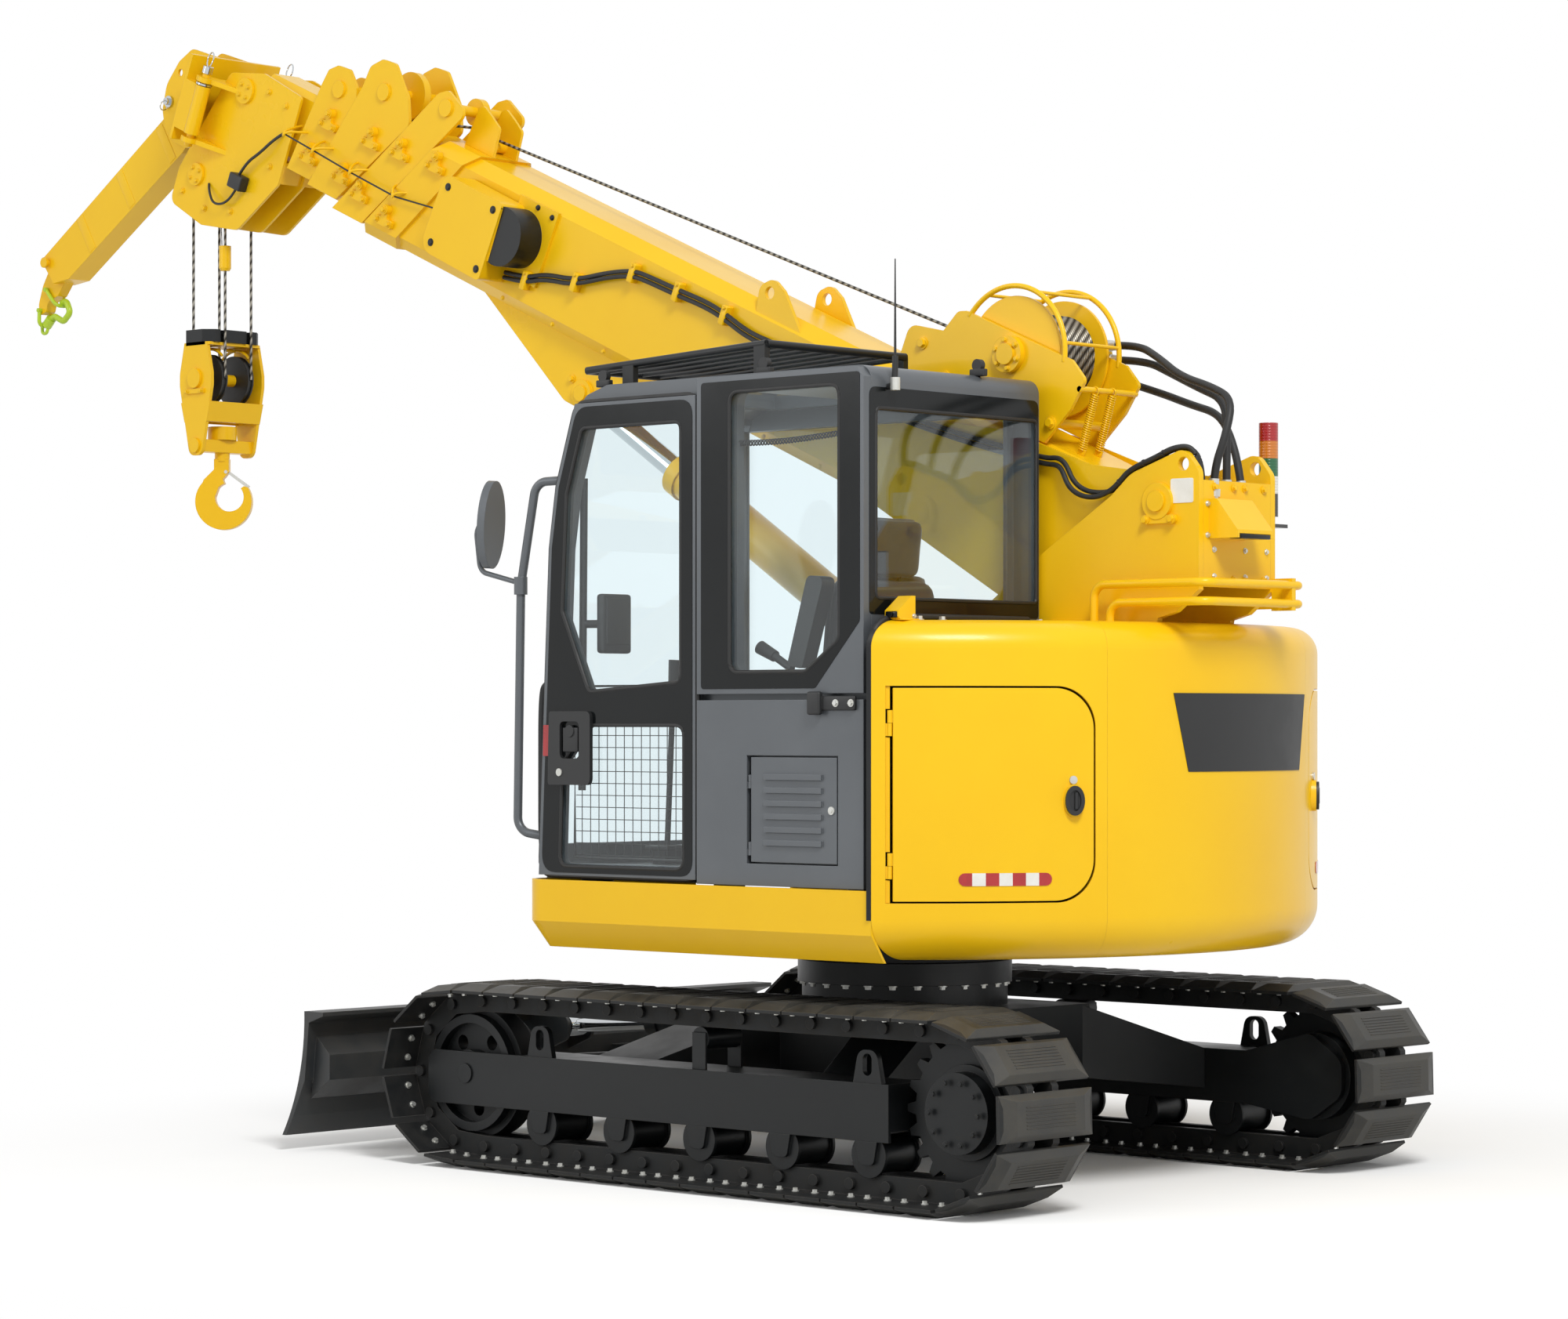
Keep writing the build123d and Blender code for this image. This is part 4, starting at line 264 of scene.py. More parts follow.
class Kit:
    def __init__(self):
        self.points, self.faces = [], []

    def add(self, points, faces):
        base = len(self.points)
        self.points += [Vector(p) for p in points]
        self.faces += [[base + i for i in face] for face in faces]

    def rod(self, start, end, radius, sides=20, top=None):
        start, end = Vector(start), Vector(end)
        turn = (end - start).to_track_quat("Z", "Y").to_matrix()
        ring = [turn @ Vector((c, s, 0)) for c, s in circle(sides)]
        low = [start + p * radius for p in ring]
        high = [end + p * (radius if top is None else top) for p in ring]
        walls = [[k, (k + 1) % sides, sides + (k + 1) % sides, sides + k] for k in range(sides)]
        self.add(low + high, walls + [list(range(sides))[::-1], list(range(sides, 2 * sides))])

    def pin(self, spot, ys, radius, sides=20):  # a rod across the machine
        self.rod((spot[0], ys[0], spot[1]), (spot[0], ys[1], spot[1]), radius, sides)

    def bolt(self, place, along, radius, height):
        place, along = Vector(place), Vector(along).normalized()
        washer = place + along * height * make["washerHigh"]
        self.rod(place, washer, radius * make["washerWide"], 16)
        self.rod(washer, place + along * height, radius, 6, radius * make["headTaper"])

    def sideBolts(self, spots, y, radius, height):  # heads on the face at y, pointing away from the middle
        for a, b in spots:
            self.bolt((a, y, b), (0, math.copysign(1, y), 0), radius, height)

    def block(self, low, high, bend=0.0):
        low, high = Vector(low), Vector(high)
        size = high - low
        bend = min(bend, *[0.45 * edge for edge in size])
        made = bmesh.new()
        bmesh.ops.create_cube(made, size=1.0)
        for v in made.verts:
            v.co = (low + high) / 2 + v.co * size
        if bend:
            bmesh.ops.bevel(made, geom=made.edges[:], offset=bend, segments=3, affect="EDGES", profile=0.5)
        made.verts.index_update()
        self.add([v.co.copy() for v in made.verts], [[v.index for v in face.verts] for face in made.faces])
        made.free()

    def tube(self, path, radius, sides=12, closed=False):
        path = [Vector(p) for p in path]
        count = len(path)
        up = Vector((0.31, 0.17, 0.93))  # no path runs along it
        rings, faces = [], []
        for i, p in enumerate(path):
            after = path[(i + 1) % count] if closed or i + 1 < count else p
            before = path[i - 1] if closed or i else p
            first = (after - before).cross(up).normalized()
            second = (after - before).cross(first).normalized()
            rings += [p + (first * c + second * s) * radius for c, s in circle(sides)]
        for i in range(count if closed else count - 1):
            here, beyond = i * sides, (i + 1) % count * sides
            for k in range(sides):
                faces.append([here + k, here + (k + 1) % sides, beyond + (k + 1) % sides, beyond + k])
        if not closed:
            faces += [list(range(sides)), list(range((count - 1) * sides, count * sides))[::-1]]
        self.add(rings, faces)

    def ring(self, centre, radius, axis, wire, sides, count=24):
        turn = Vector(axis).normalized().to_track_quat("Z", "Y").to_matrix()
        path = [Vector(centre) + turn @ Vector((radius * c, radius * s, 0)) for c, s in circle(count)]
        self.tube(path, wire, sides, True)

    def sheet(self, outer, holes, place, thick):
        made = bmesh.new()
        edges = []
        for loop in [outer] + holes:
            ring = [made.verts.new((a, b, 0.0)) for a, b in loop]
            edges += [made.edges.new((ring[i - 1], ring[i])) for i in range(len(ring))]
        bmesh.ops.triangle_fill(made, use_beauty=True, edges=edges)
        raised = bmesh.ops.extrude_face_region(made, geom=made.faces[:])
        for item in raised["geom"]:
            if isinstance(item, bmesh.types.BMVert):
                item.co.z += thick
        made.verts.index_update()
        self.add([place(*v.co) for v in made.verts], [[v.index for v in face.verts] for face in made.faces])
        made.free()

    def piece(self, name, body, finish, slot, place=None):
        mesh = bpy.data.meshes.new(name)
        mesh.from_pydata([place @ p if place else p for p in self.points], [], self.faces)
        fix = bmesh.new()
        fix.from_mesh(mesh)
        bmesh.ops.recalc_face_normals(fix, faces=fix.faces[:])
        fix.to_mesh(mesh)
        fix.free()
        mesh.shade_smooth()
        mesh.set_sharp_from_angle(angle=math.radians(make["sharp"]))
        mesh.materials.append(finish)
        made = bpy.data.objects.new(name, mesh)
        bpy.context.collection.objects.link(made)
        if body:
            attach(made, body)
        self.points, self.faces = [], []  # ready for the next piece
        return made


kit = Kit()  # every piece is drawn in it, or in a second one beside it


def rounded(corners, steps=6):  # corners in mm, each with its own bend or none
    made = []
    for i, corner in enumerate(corners):
        here = Vector(corner[:2])
        if len(corner) == 2:
            made.append(here)
            continue
        back = Vector(corners[i - 1][:2]) - here
        ahead = Vector(corners[(i + 1) % len(corners)][:2]) - here
        reach = corner[2] / math.tan(back.angle(ahead) / 2)
        first, last = here + back.normalized() * reach, here + ahead.normalized() * reach
        for k in range(steps + 1):
            t = k / steps
            made.append(first * (1 - t) ** 2 + here * 2 * t * (1 - t) + last * t ** 2)
    return [(p.x * mm, p.y * mm) for p in made]


def plate(low, high, *bend):
    return rounded([(a, b, *bend) for a, b in (low, (high[0], low[1]), high, (low[0], high[1]))])


def leftWall(y):
    return lambda a, b, depth: Vector((a, y + depth, b))


def rearWall(x):
    return lambda a, b, depth: Vector((x - depth, a, b))


def houseSkin(radius):
    return lambda a, b, depth: Vector(((radius + depth) * math.cos(a), (radius + depth) * math.sin(a), b))


def flowing(points, steps=10):
    curve = bpy.data.curves.new("route", "CURVE")
    curve.dimensions = "3D"
    curve.resolution_u = steps
    spline = curve.splines.new("NURBS")
    spline.points.add(len(points) - 1)
    for knot, p in zip(spline.points, points):
        knot.co = (*p, 1.0)
    spline.order_u = 3
    spline.use_endpoint_u = True
    holder = bpy.data.objects.new("route", curve)
    line = bpy.data.meshes.new_from_object(holder)
    path = [v.co.copy() for v in line.vertices]
    bpy.data.objects.remove(holder)
    bpy.data.curves.remove(curve)
    bpy.data.meshes.remove(line)
    return path


def along(path):
    return sum((b - a).length for a, b in zip(path, path[1:]))


boom = {"foot": (-1.294, 0.04, 2.236), "angle": 23.5}  # u runs along the boom, v square to it, y across
onBoom = Matrix.Translation(boom["foot"]) @ Matrix.Rotation(-math.radians(boom["angle"]), 4, "Y")


def boomPoint(u, y, v):
    return onBoom @ Vector((u * mm, y * mm, v * mm))


track = {"half": 1.11, "pitch": 0.154, "links": 39, "gauge": 1.87, "tread": 0.068, "padFrom": 0.0462,
    "padBend": 0.006}
loopRadius = (track["links"] * track["pitch"] - 4 * track["half"]) / (2 * math.pi)
loopZ = loopRadius + track["tread"]
for side, sign in bothSides:
    belt = nodes["track_" + side].data
    belt.materials.append(padRubber)
    for face in belt.polygons:
        past = abs(face.center.x) - track["half"]
        outward = math.hypot(max(past, 0.0), face.center.z - loopZ) - loopRadius
        face.material_index = int(outward > track["padFrom"] - track["padBend"] * (past > 0))
print("track pads split from shoes")


def loopPoint(distance):  # back along the ground, up behind, ahead along the top, down in front
    run, bend = 2 * track["half"], math.pi * loopRadius
    lap, distance = divmod(distance % (2 * (run + bend)), run + bend)
    way = 1 if lap else -1
    turn = max(distance - run, 0.0) / loopRadius
    x = min(distance, run) - track["half"] + loopRadius * math.sin(turn)
    return Vector((way * x, 0, loopZ + way * loopRadius * math.cos(turn)))


shoe = {"seat": 0.036, "bolt": 0.009, "boltHigh": 0.012, "boltRows": (-0.125, 0.125),
    "boltSteps": (-0.035, 0.035), "pin": 0.019, "pinHalf": 0.012, "pinRows": (-0.077, 0.077), "lines": 7,
    "linePitch": 0.011, "lineHalf": 0.118, "lineWire": 0.0022}
for side, sign in bothSides:
    bolts, pins, lines = Kit(), Kit(), Kit()
    middle = Vector((0, sign * track["gauge"] / 2, 0))
    for link in range(track["links"]):
        back, front = [loopPoint((link + part) * track["pitch"]) for part in (-0.5, 0.5)]
        ahead = (front - back).normalized()
        out = Vector((-ahead.z, 0, ahead.x))
        spot = (back + front) / 2 + middle
        for y in shoe["boltRows"]:
            for step in shoe["boltSteps"]:
                seat = spot + out * shoe["seat"] + ahead * step + Vector((0, y, 0))
                bolts.bolt(seat, -out, shoe["bolt"], shoe["boltHigh"])
        for y in shoe["pinRows"]:
            ends = [middle.y + y + part * shoe["pinHalf"] for part in (-1, 1)]
            pins.pin((front.x, front.z), ends, shoe["pin"], 14)
        if out.z < -0.9:  # pads on the ground show no lines
            continue
        for k in range(shoe["lines"]):
            line = spot + out * track["tread"] + ahead * shoe["linePitch"] * (k - (shoe["lines"] - 1) / 2)
            ends = (line.y - shoe["lineHalf"], line.y + shoe["lineHalf"])
            lines.pin((line.x, line.z), ends, shoe["lineWire"], 6)
    bolts.piece("shoeBolts_" + side, "undercarriage", boltZinc, "track_rubber")
    pins.piece("linkPins_" + side, "undercarriage", shoeSteel, "track_rubber")
    lines.piece("treadLines_" + side, "undercarriage", padRubber, "track_rubber")
print("track bolts laid")

hoses = {"radius": 0.013, "ferrule": (0.02, 0.045, 0.017), "nut": (0.012, 0.012, 0.022),
    "routes": [
        [(-1.44, 0.15, 2.262), (-1.444, 0.15, 2.34), (-1.48, 0.14, 2.44), (-1.48, 0.1, 2.56),
            (-1.36, 0.05, 2.61), (-1.17, -0.03, 2.66), (-1.0, -0.13, 2.74), (-0.86, -0.2, 2.795),
            (-0.722, -0.215, 2.8)],
        [(-1.425, 0.06, 2.262), (-1.425, 0.06, 2.34), (-1.42, 0.05, 2.46), (-1.38, 0.01, 2.57),
            (-1.23, -0.05, 2.62), (-1.06, -0.13, 2.68), (-0.9, -0.19, 2.74), (-0.726, -0.225, 2.752)],
        [(-1.42, -0.03, 2.262), (-1.41, -0.03, 2.34), (-1.37, -0.04, 2.45), (-1.29, -0.08, 2.535),
            (-1.13, -0.14, 2.575), (-0.95, -0.2, 2.63), (-0.718, -0.235, 2.695)]]}
for index, route in enumerate(hoses["routes"]):
    path = flowing(route, 8)
    kit.tube(path, hoses["radius"], 14)
    hose = kit.piece("winchHose_%d" % index, None, *rubber)
    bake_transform(hose)
    for label, body, tip, inner in (("low", "upper", path[0], path[1]), ("high", "boom", path[-1], path[-2])):
        out = (inner - tip).normalized()
        for (back, ahead, radius), corners in ((hoses["ferrule"], 16), (hoses["nut"], 6)):
            kit.rod(tip - out * back, tip + out * ahead, radius, corners)
        kit.piece("hoseFitting_%d_%s" % (index, label), body, boltZinc, "black_paint")
print("hoses hung")

sideHose = {"radius": 0.0085, "out": 184, "weave": 6, "lane": 19, "clips": (1, 3, 5, 7, 9),
    "clipY": (0.164, 0.199),
    "route": [(3196, -340), (3080, -322), (2992, -275), (2826, -241), (2684, -162), (2560, -112),
        (2490, -106), (2321, -100), (2177, -93), (2069, -98), (1934, -123), (1779, -112), (1500, -136),
        (1250, -140), (1034, -122), (784, -90), (612, -63)]}
clips = Kit()
for lane in (0, 1):
    route = []
    for k, (u, v) in enumerate(sideHose["route"]):
        route.append(boomPoint(u, sideHose["out"] + sideHose["weave"] * (k % 2), v - sideHose["lane"] * lane))
    kit.tube(flowing(route, 8), sideHose["radius"], 10)
for k in sideHose["clips"]:
    u, v = [part * mm for part in sideHose["route"][k]]
    inner, outer = sideHose["clipY"]
    clips.block((u - 0.014, inner, v - 0.044), (u + 0.014, outer, v + 0.026), 0.004)
    clips.bolt((u, outer, v + 0.018), (0, 1, 0), 0.006, 0.006)
kit.piece("boomSideHoses", "boom", *rubber)
clips.piece("hoseClips", "boom", *yellow, onBoom)

freeLoops = [
    [boomPoint(612, 190, -63), boomPoint(500, 190, -45), boomPoint(452, 194, -22), (-0.91, 0.24, 2.372),
        (-0.945, 0.248, 2.314), (-0.992, 0.248, 2.282), (-1.046, 0.24, 2.272), (-1.094, 0.227, 2.277),
        (-1.134, 0.227, 2.305), (-1.175, 0.227, 2.343), (-1.287, 0.227, 2.379), (-1.345, 0.227, 2.404),
        (-1.395, 0.195, 2.405), (-1.424, 0.186, 2.35), (-1.426, 0.186, 2.275)],
    [boomPoint(612, 190, -82), boomPoint(500, 190, -64), boomPoint(445, 196, -45), (-0.905, 0.254, 2.352),
        (-0.938, 0.264, 2.296), (-0.988, 0.266, 2.264), (-1.046, 0.258, 2.256), (-1.094, 0.2446, 2.275),
        (-1.134, 0.2446, 2.304), (-1.175, 0.2446, 2.343), (-1.287, 0.2446, 2.379), (-1.35, 0.2446, 2.406),
        (-1.405, 0.215, 2.41), (-1.424, 0.205, 2.35), (-1.426, 0.204, 2.275)]]
for index, route in enumerate(freeLoops):
    path = flowing(route, 8)
    kit.tube(path, sideHose["radius"], 12)
    loop = kit.piece("sideLoop_%d" % index, None, *rubber)
    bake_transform(loop)
tie = {"y": 0.2358, "wide": 0.0185, "high": 0.0105, "strap": 0.0022,
    "spots": ((-1.134, 2.3045, 40.0), (-1.232, 2.3615, 18.5), (-1.312, 2.389, 18.5))}
for x, z, tilt in tie["spots"]:
    out = Vector((math.sin(math.radians(tilt)), 0, math.cos(math.radians(tilt))))
    path = [Vector((x, tie["y"] + tie["wide"] * c, z)) + out * tie["high"] * s for c, s in circle(24)]
    kit.tube(path, tie["strap"], 8, True)
kit.piece("hoseTies", "upper", *plastic)
print("side hoses tied")


def stretched(label, line, finish, slot, sides):  # one straight length between each section and the next
    for (bodyA, uA, vA), (bodyB, uB, vB) in zip(line["stops"], line["stops"][1:]):
        start, end = boomPoint(uA, line["y"], vA), boomPoint(uB, line["y"], vB)
        kit.tube([start.lerp(end, k / 12) for k in range(13)], line["radius"], sides)
        made = kit.piece(label + bodyB, None, finish, slot)
        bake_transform(made)


spans = {"radius": 0.0055, "y": 0,
    "stops": [("boom", 3640, 52), ("boom_2", 3772, 55), ("boom_3", 4154, -40), ("boom_4", 4430, -80),
        ("boom_5", 4960, -139)]}
stretched("ropeSpan_", spans, *laid, 12)
reach = {"radius": 0.0035, "y": 195, "loop": 0.005,
    "stops": [("boom", 3560, -232), ("boom_2", 3880, -275), ("boom_3", 4150, -271), ("boom_4", 4392, -262),
        ("boom_5", 4582, -256)]}
stretched("lengthCable_", reach, *rubber, 8)
sectionSide = {"boom": 179, "boom_2": 160, "boom_3": 141, "boom_4": 122, "boom_5": 89}
for body, u, v in reach["stops"][1:]:
    wall, y = sectionSide[body], reach["y"]
    bends = ((-45, wall - 4, 34), (-40, wall + 20, 30), (-6, y + 14, 14), (0, y + 12, -10), (6, y + 10, 14),
             (40, wall + 20, 30), (45, wall - 4, 34))
    kit.tube(flowing([boomPoint(u + du, out, v + dv) for du, out, dv in bends], 6), reach["loop"], 10)
    kit.piece("cableLoop_" + body, body, *yellow)
print("rope spans and length cable run")

wearPads = {"thick": 0.016, "boss": (0.026, 0.02),
    "claw": ((-52, -30, 12), (52, -30, 12), (52, 2, 10), (16, 2, 6), (16, 32, 10), (-16, 32, 10),
        (-16, 2, 6), (-52, 2, 10)),
    "spots": {"boom": ((3716, -93), (3909, -371)), "boom_2": ((3947, -116), (4107, -335)),
        "boom_3": ((4146, -133), (4257, -312)), "boom_4": ((4430, -149), (4496, -307))}}
for body, spots in wearPads["spots"].items():
    heads = Kit()
    wall = sectionSide[body] * mm
    deep, radius = wearPads["boss"]
    for sign in (1, -1):
        for u, v in spots:
            claw = rounded([(u + du, v + dv, bend) for du, dv, bend in wearPads["claw"]])
            face = lambda a, b, depth: Vector((a, sign * (wall + depth), b))
            kit.sheet(claw, [], face, wearPads["thick"])
            boss = (u * mm, (v + 34) * mm)
            kit.pin(boss, (sign * wall, sign * (wall + deep)), radius)
            feet = [((u + step) * mm, (v - 14) * mm) for step in (-36, 36)]
            heads.sideBolts(feet, sign * (wall + wearPads["thick"]), 0.009, 0.011)
            heads.sideBolts([boss], sign * (wall + deep), 0.011, 0.01)
    kit.piece("wearPadHolders_" + body, body, *yellow, onBoom)
    heads.piece("wearPadBolts_" + body, body, *yellow, onBoom)
print("wear pads set")

cab = {"left": 1.115, "rear": -0.805, "band": 0.0015,
    "upper": ((-7, 1660, 30), (420, 1630, 30), (548, 1900, 30), (528, 2290, 30), (455, 2510, 30),
        (-7, 2510, 30)),
    "lower": ((-21, 1048, 40), (560, 1048, 40), (548, 1390, 40), (430, 1520, 40), (-21, 1520, 40)),
    "quarter": ((-226, 1690, 40), (-560, 1690, 40), (-702, 1790, 40), (-702, 2593, 40), (-226, 2593, 40)),
    "rearGlass": ((264, 1918, 20), (1056, 1918, 20), (1056, 2516, 20), (264, 2516, 20)),
    "doorBand": ((-60, 1026, 56), (646, 1026, 64), (596, 2113), (563, 2317), (476, 2580, 66),
        (-60, 2580, 56)),
    "quarterBand": ((-100, 1636, 14), (-600, 1636, 20), (-790, 1846, 20), (-790, 2628, 14),
        (-100, 2628, 14)),
    "rearBand": ((256, 1868, 14), (1088, 1868, 14), (1088, 2582, 30), (256, 2582, 30))}
leftFace, rearFace = leftWall(cab["left"]), rearWall(cab["rear"])
for band, openings, wall in (("doorBand", ("upper", "lower"), leftFace),
                             ("quarterBand", ("quarter",), leftFace), ("rearBand", ("rearGlass",), rearFace)):
    kit.sheet(rounded(cab[band]), [rounded(cab[key]) for key in openings], wall, cab["band"])
kit.piece("windowBands", "upper", frit, "dark_grey_paint")

seal = {"sunk": -0.002, "radius": 0.007, "doorSunk": -0.011, "doorRadius": 0.009, "cornerRadius": 0.011,
    "door": ((-74, 1015, 50), (664, 1015, 60), (612, 2113), (579, 2321), (488, 2596, 60), (-74, 2596, 50)),
    "corner": [(-0.838, 1.112, 0.99), (-0.838, 1.12, 1.2), (-0.838, 1.122, 1.6), (-0.838, 1.118, 1.8),
        (-0.838, 1.06, 1.858), (-0.838, 0.9, 1.862), (-0.838, 0.35, 1.862)]}
for key, wall in (("upper", leftFace), ("lower", leftFace), ("quarter", leftFace), ("rearGlass", rearFace)):
    kit.tube([wall(a, b, seal["sunk"]) for a, b in rounded(cab[key])], seal["radius"], 8, True)
kit.tube([leftFace(a, b, seal["doorSunk"]) for a, b in rounded(seal["door"])], seal["doorRadius"], 8, True)
kit.tube(flowing(seal["corner"], 10), seal["cornerRadius"], 10)
kit.piece("rubberSeals", "upper", *rubber)

handle = {"wall": 1.1165, "thick": 0.014,
    "box": ((400, 1320, 24), (602, 1320, 12), (596, 1566, 12), (400, 1566, 24)),
    "well": ((452, 1408), (544, 1532), 20), "grip": ((0.462, 1.118, 1.43), (0.534, 1.127, 1.512)),
    "button": ((0.498, 1.5), (1.124, 1.131), 0.02), "lock": ((0.545, 1.362), (1.13, 1.1345), 0.013),
    "reflector": ((604, 1416, 4), (636, 1416, 4), (634, 1520, 4), (603, 1520, 4)), "reflectorThick": 0.003}
catch = {"arm": ((-0.778, 1.113, 1.566), (-0.6, 1.128, 1.612)),
    "box": ((-0.64, 1.12, 1.552), (-0.585, 1.142, 1.626)), "bolts": ((-0.765, 1.589), (-0.7, 1.589)),
    "boltY": 1.128}
grabBar = {"radius": 0.014,
    "route": [(0.655, 1.04, 1.075), (0.7, 1.04, 1.07), (0.722, 1.04, 1.1), (0.722, 1.04, 1.35),
        (0.722, 1.04, 1.62), (0.7, 1.04, 1.665), (0.632, 1.04, 1.665)]}
aerial = {"foot": [(-0.808, 1.0, 2.585), (-0.83, 1.0, 2.585), (-0.836, 1.0, 2.62), (-0.836, 1.0, 2.68)],
    "whip": ((-0.836, 1.0, 2.66), (-0.836, 1.0, 2.985)),
    "nut": ((-0.836, 1.0, 2.572), (-0.836, 1.0, 2.612))}
roofEyes = {"spots": ((0.417, 1.045), (-0.318, 1.045), (-0.775, 0.523)), "z": (2.648, 2.672), "eyeZ": 2.684}
kit.sheet(rounded(handle["box"]), [plate(*handle["well"])], leftWall(handle["wall"]), handle["thick"])
kit.block(*handle["grip"], 0.006)
kit.pin(*handle["button"])
kit.block(*catch["arm"], 0.006)
kit.block(*catch["box"], 0.008)
kit.tube(flowing(grabBar["route"], 10), grabBar["radius"], 14)
kit.tube(flowing(aerial["foot"], 8), 0.01, 12)
kit.rod(*aerial["whip"], 0.0045, 10, 0.002)
for x, y in roofEyes["spots"]:
    kit.block((x - 0.03, y - 0.012, roofEyes["z"][0]), (x + 0.03, y + 0.012, roofEyes["z"][1]), 0.004)
    kit.pin((x, roofEyes["eyeZ"]), (y - 0.01, y + 0.01), 0.02)
kit.piece("cabFittings", "upper", *plastic)
kit.pin(*handle["lock"])
kit.rod(*aerial["nut"], 0.016, 18)
kit.sideBolts(catch["bolts"], catch["boltY"], 0.009, 0.009)
kit.piece("cabLocks", "upper", *zinc)
hatchLock = {"spot": (-0.672, 1.25), "barrel": ((1.115, 1.12), 0.013, 20),
    "key": ((1.12, 1.1225), 0.006, 16)}
kit.pin(hatchLock["spot"], *hatchLock["barrel"])
kit.pin(hatchLock["spot"], *hatchLock["key"])
kit.piece("hatchLock", "cab_hatch", *zinc)
kit.sheet(rounded(handle["reflector"]), [], leftWall(handle["wall"]), handle["reflectorThick"])
kit.piece("doorReflector", "upper", redVinyl, "lamp_plastic")

weave = {"pitch": 0.04, "wire": 0.0016, "y": 1.048, "over": 0.003, "x": (0.04, 0.545), "z": (1.085, 1.64),
    "rim": ((0.03, 1.075), (0.555, 1.075), (0.555, 1.65), (0.03, 1.65)), "rimWire": 0.006}
(left, right), (low, high), y = weave["x"], weave["z"], weave["y"]
for k in range(int((right - left) / weave["pitch"]) + 1):
    x = left + k * weave["pitch"]
    kit.rod((x, y, low), (x, y, high), weave["wire"], 6)
for k in range(int((high - low) / weave["pitch"]) + 1):
    z = low + k * weave["pitch"]
    kit.rod((left, y + weave["over"], z), (right, y + weave["over"], z), weave["wire"], 6)
kit.tube([(x, y, z) for x, z in weave["rim"]], weave["rimWire"], 8, True)
kit.piece("doorMesh", "upper", blackEnamel, "black_paint")
print("cab dressed")

chair = {"x": -0.28, "y": 0.6835, "floor": 1.05, "crown": 0.16, "pull": 0.05, "square": 6,
    "groove": (0.3, 0.07), "seam": (0.06, 0.1), "folds": 5, "foldPitch": 0.04,
    "pads": {"seatCushion": ((-0.275, 1.395), (0.5, 0.5, 0.13), -4, (-0.35, 0.35)),
        "seatBack": ((-0.475, 1.725), (0.56, 0.47, 0.12), -97, (-0.45, 0.1)),
        "headRest": ((-0.535, 2.095), (0.19, 0.25, 0.085), -97, ())}}


def cushion(name, middle, size, lean, grooves):  # a squared ball, crowned, grooved and seamed
    made = bmesh.new()
    bmesh.ops.create_cube(made, size=2.0)
    bmesh.ops.subdivide_edges(made, edges=made.edges[:], cuts=13, use_grid_fill=True)
    turn = Matrix.Rotation(math.radians(lean), 3, "Y")
    for v in made.verts:
        p = v.co / sum(abs(c) ** chair["square"] for c in v.co) ** (1 / chair["square"])
        swell = 1 + chair["crown"] * (1 - p.x ** 2) * (1 - p.y ** 2)
        deep, wide = chair["groove"]
        sunk = sum(deep * math.exp(-((p.x - g) / wide) ** 2) for g in grooves) if p.z > 0 else 0.0
        out, tall = chair["seam"]
        seam = out * math.exp(-(p.z / tall) ** 2) if max(abs(p.x), abs(p.y)) > 0.9 else 0.0
        local = Vector((p.x * (1 - chair["pull"] * (1 - p.y ** 2) + seam) * size[0] / 2,
                        p.y * (1 - chair["pull"] * (1 - p.x ** 2) + seam) * size[1] / 2,
                        p.z * (swell - sunk) * size[2] / 2 / 1.1))
        v.co = Vector((middle[0], chair["y"], middle[1])) + turn @ local
    mesh = bpy.data.meshes.new(name)
    made.to_mesh(mesh)
    made.free()
    mesh.shade_smooth()
    mesh.materials.append(seatCloth)
    pad = bpy.data.objects.new(name, mesh)
    bpy.context.collection.objects.link(pad)
    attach(pad, "upper")
    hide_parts("seat")


for name, shape in chair["pads"].items():
    cushion(name, *shape)
x, y, z = chair["x"], chair["y"], chair["floor"]
kit.block((x - 0.19, y - 0.19, z), (x + 0.19, y + 0.19, z + 0.05), 0.01)
for k in range(chair["folds"]):  # the bellows
    low = z + 0.05 + chair["foldPitch"] * k
    kit.block((x - 0.165, y - 0.165, low), (x + 0.165, y + 0.165, low + 0.034), 0.014)
kit.block((x - 0.24, y - 0.235, z + 0.245), (x + 0.25, y + 0.235, z + 0.29), 0.02)
for step in (-0.06, 0.06):  # the head rest's two bars
    kit.rod((-0.515, y + step, 1.95), (-0.532, y + step, 2.06), 0.006, 10)
kit.pin((-0.47, 1.36), (y - 0.16, y + 0.16), 0.03)
stand = kit.piece("seatStand", "upper", *plastic)
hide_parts("seat")

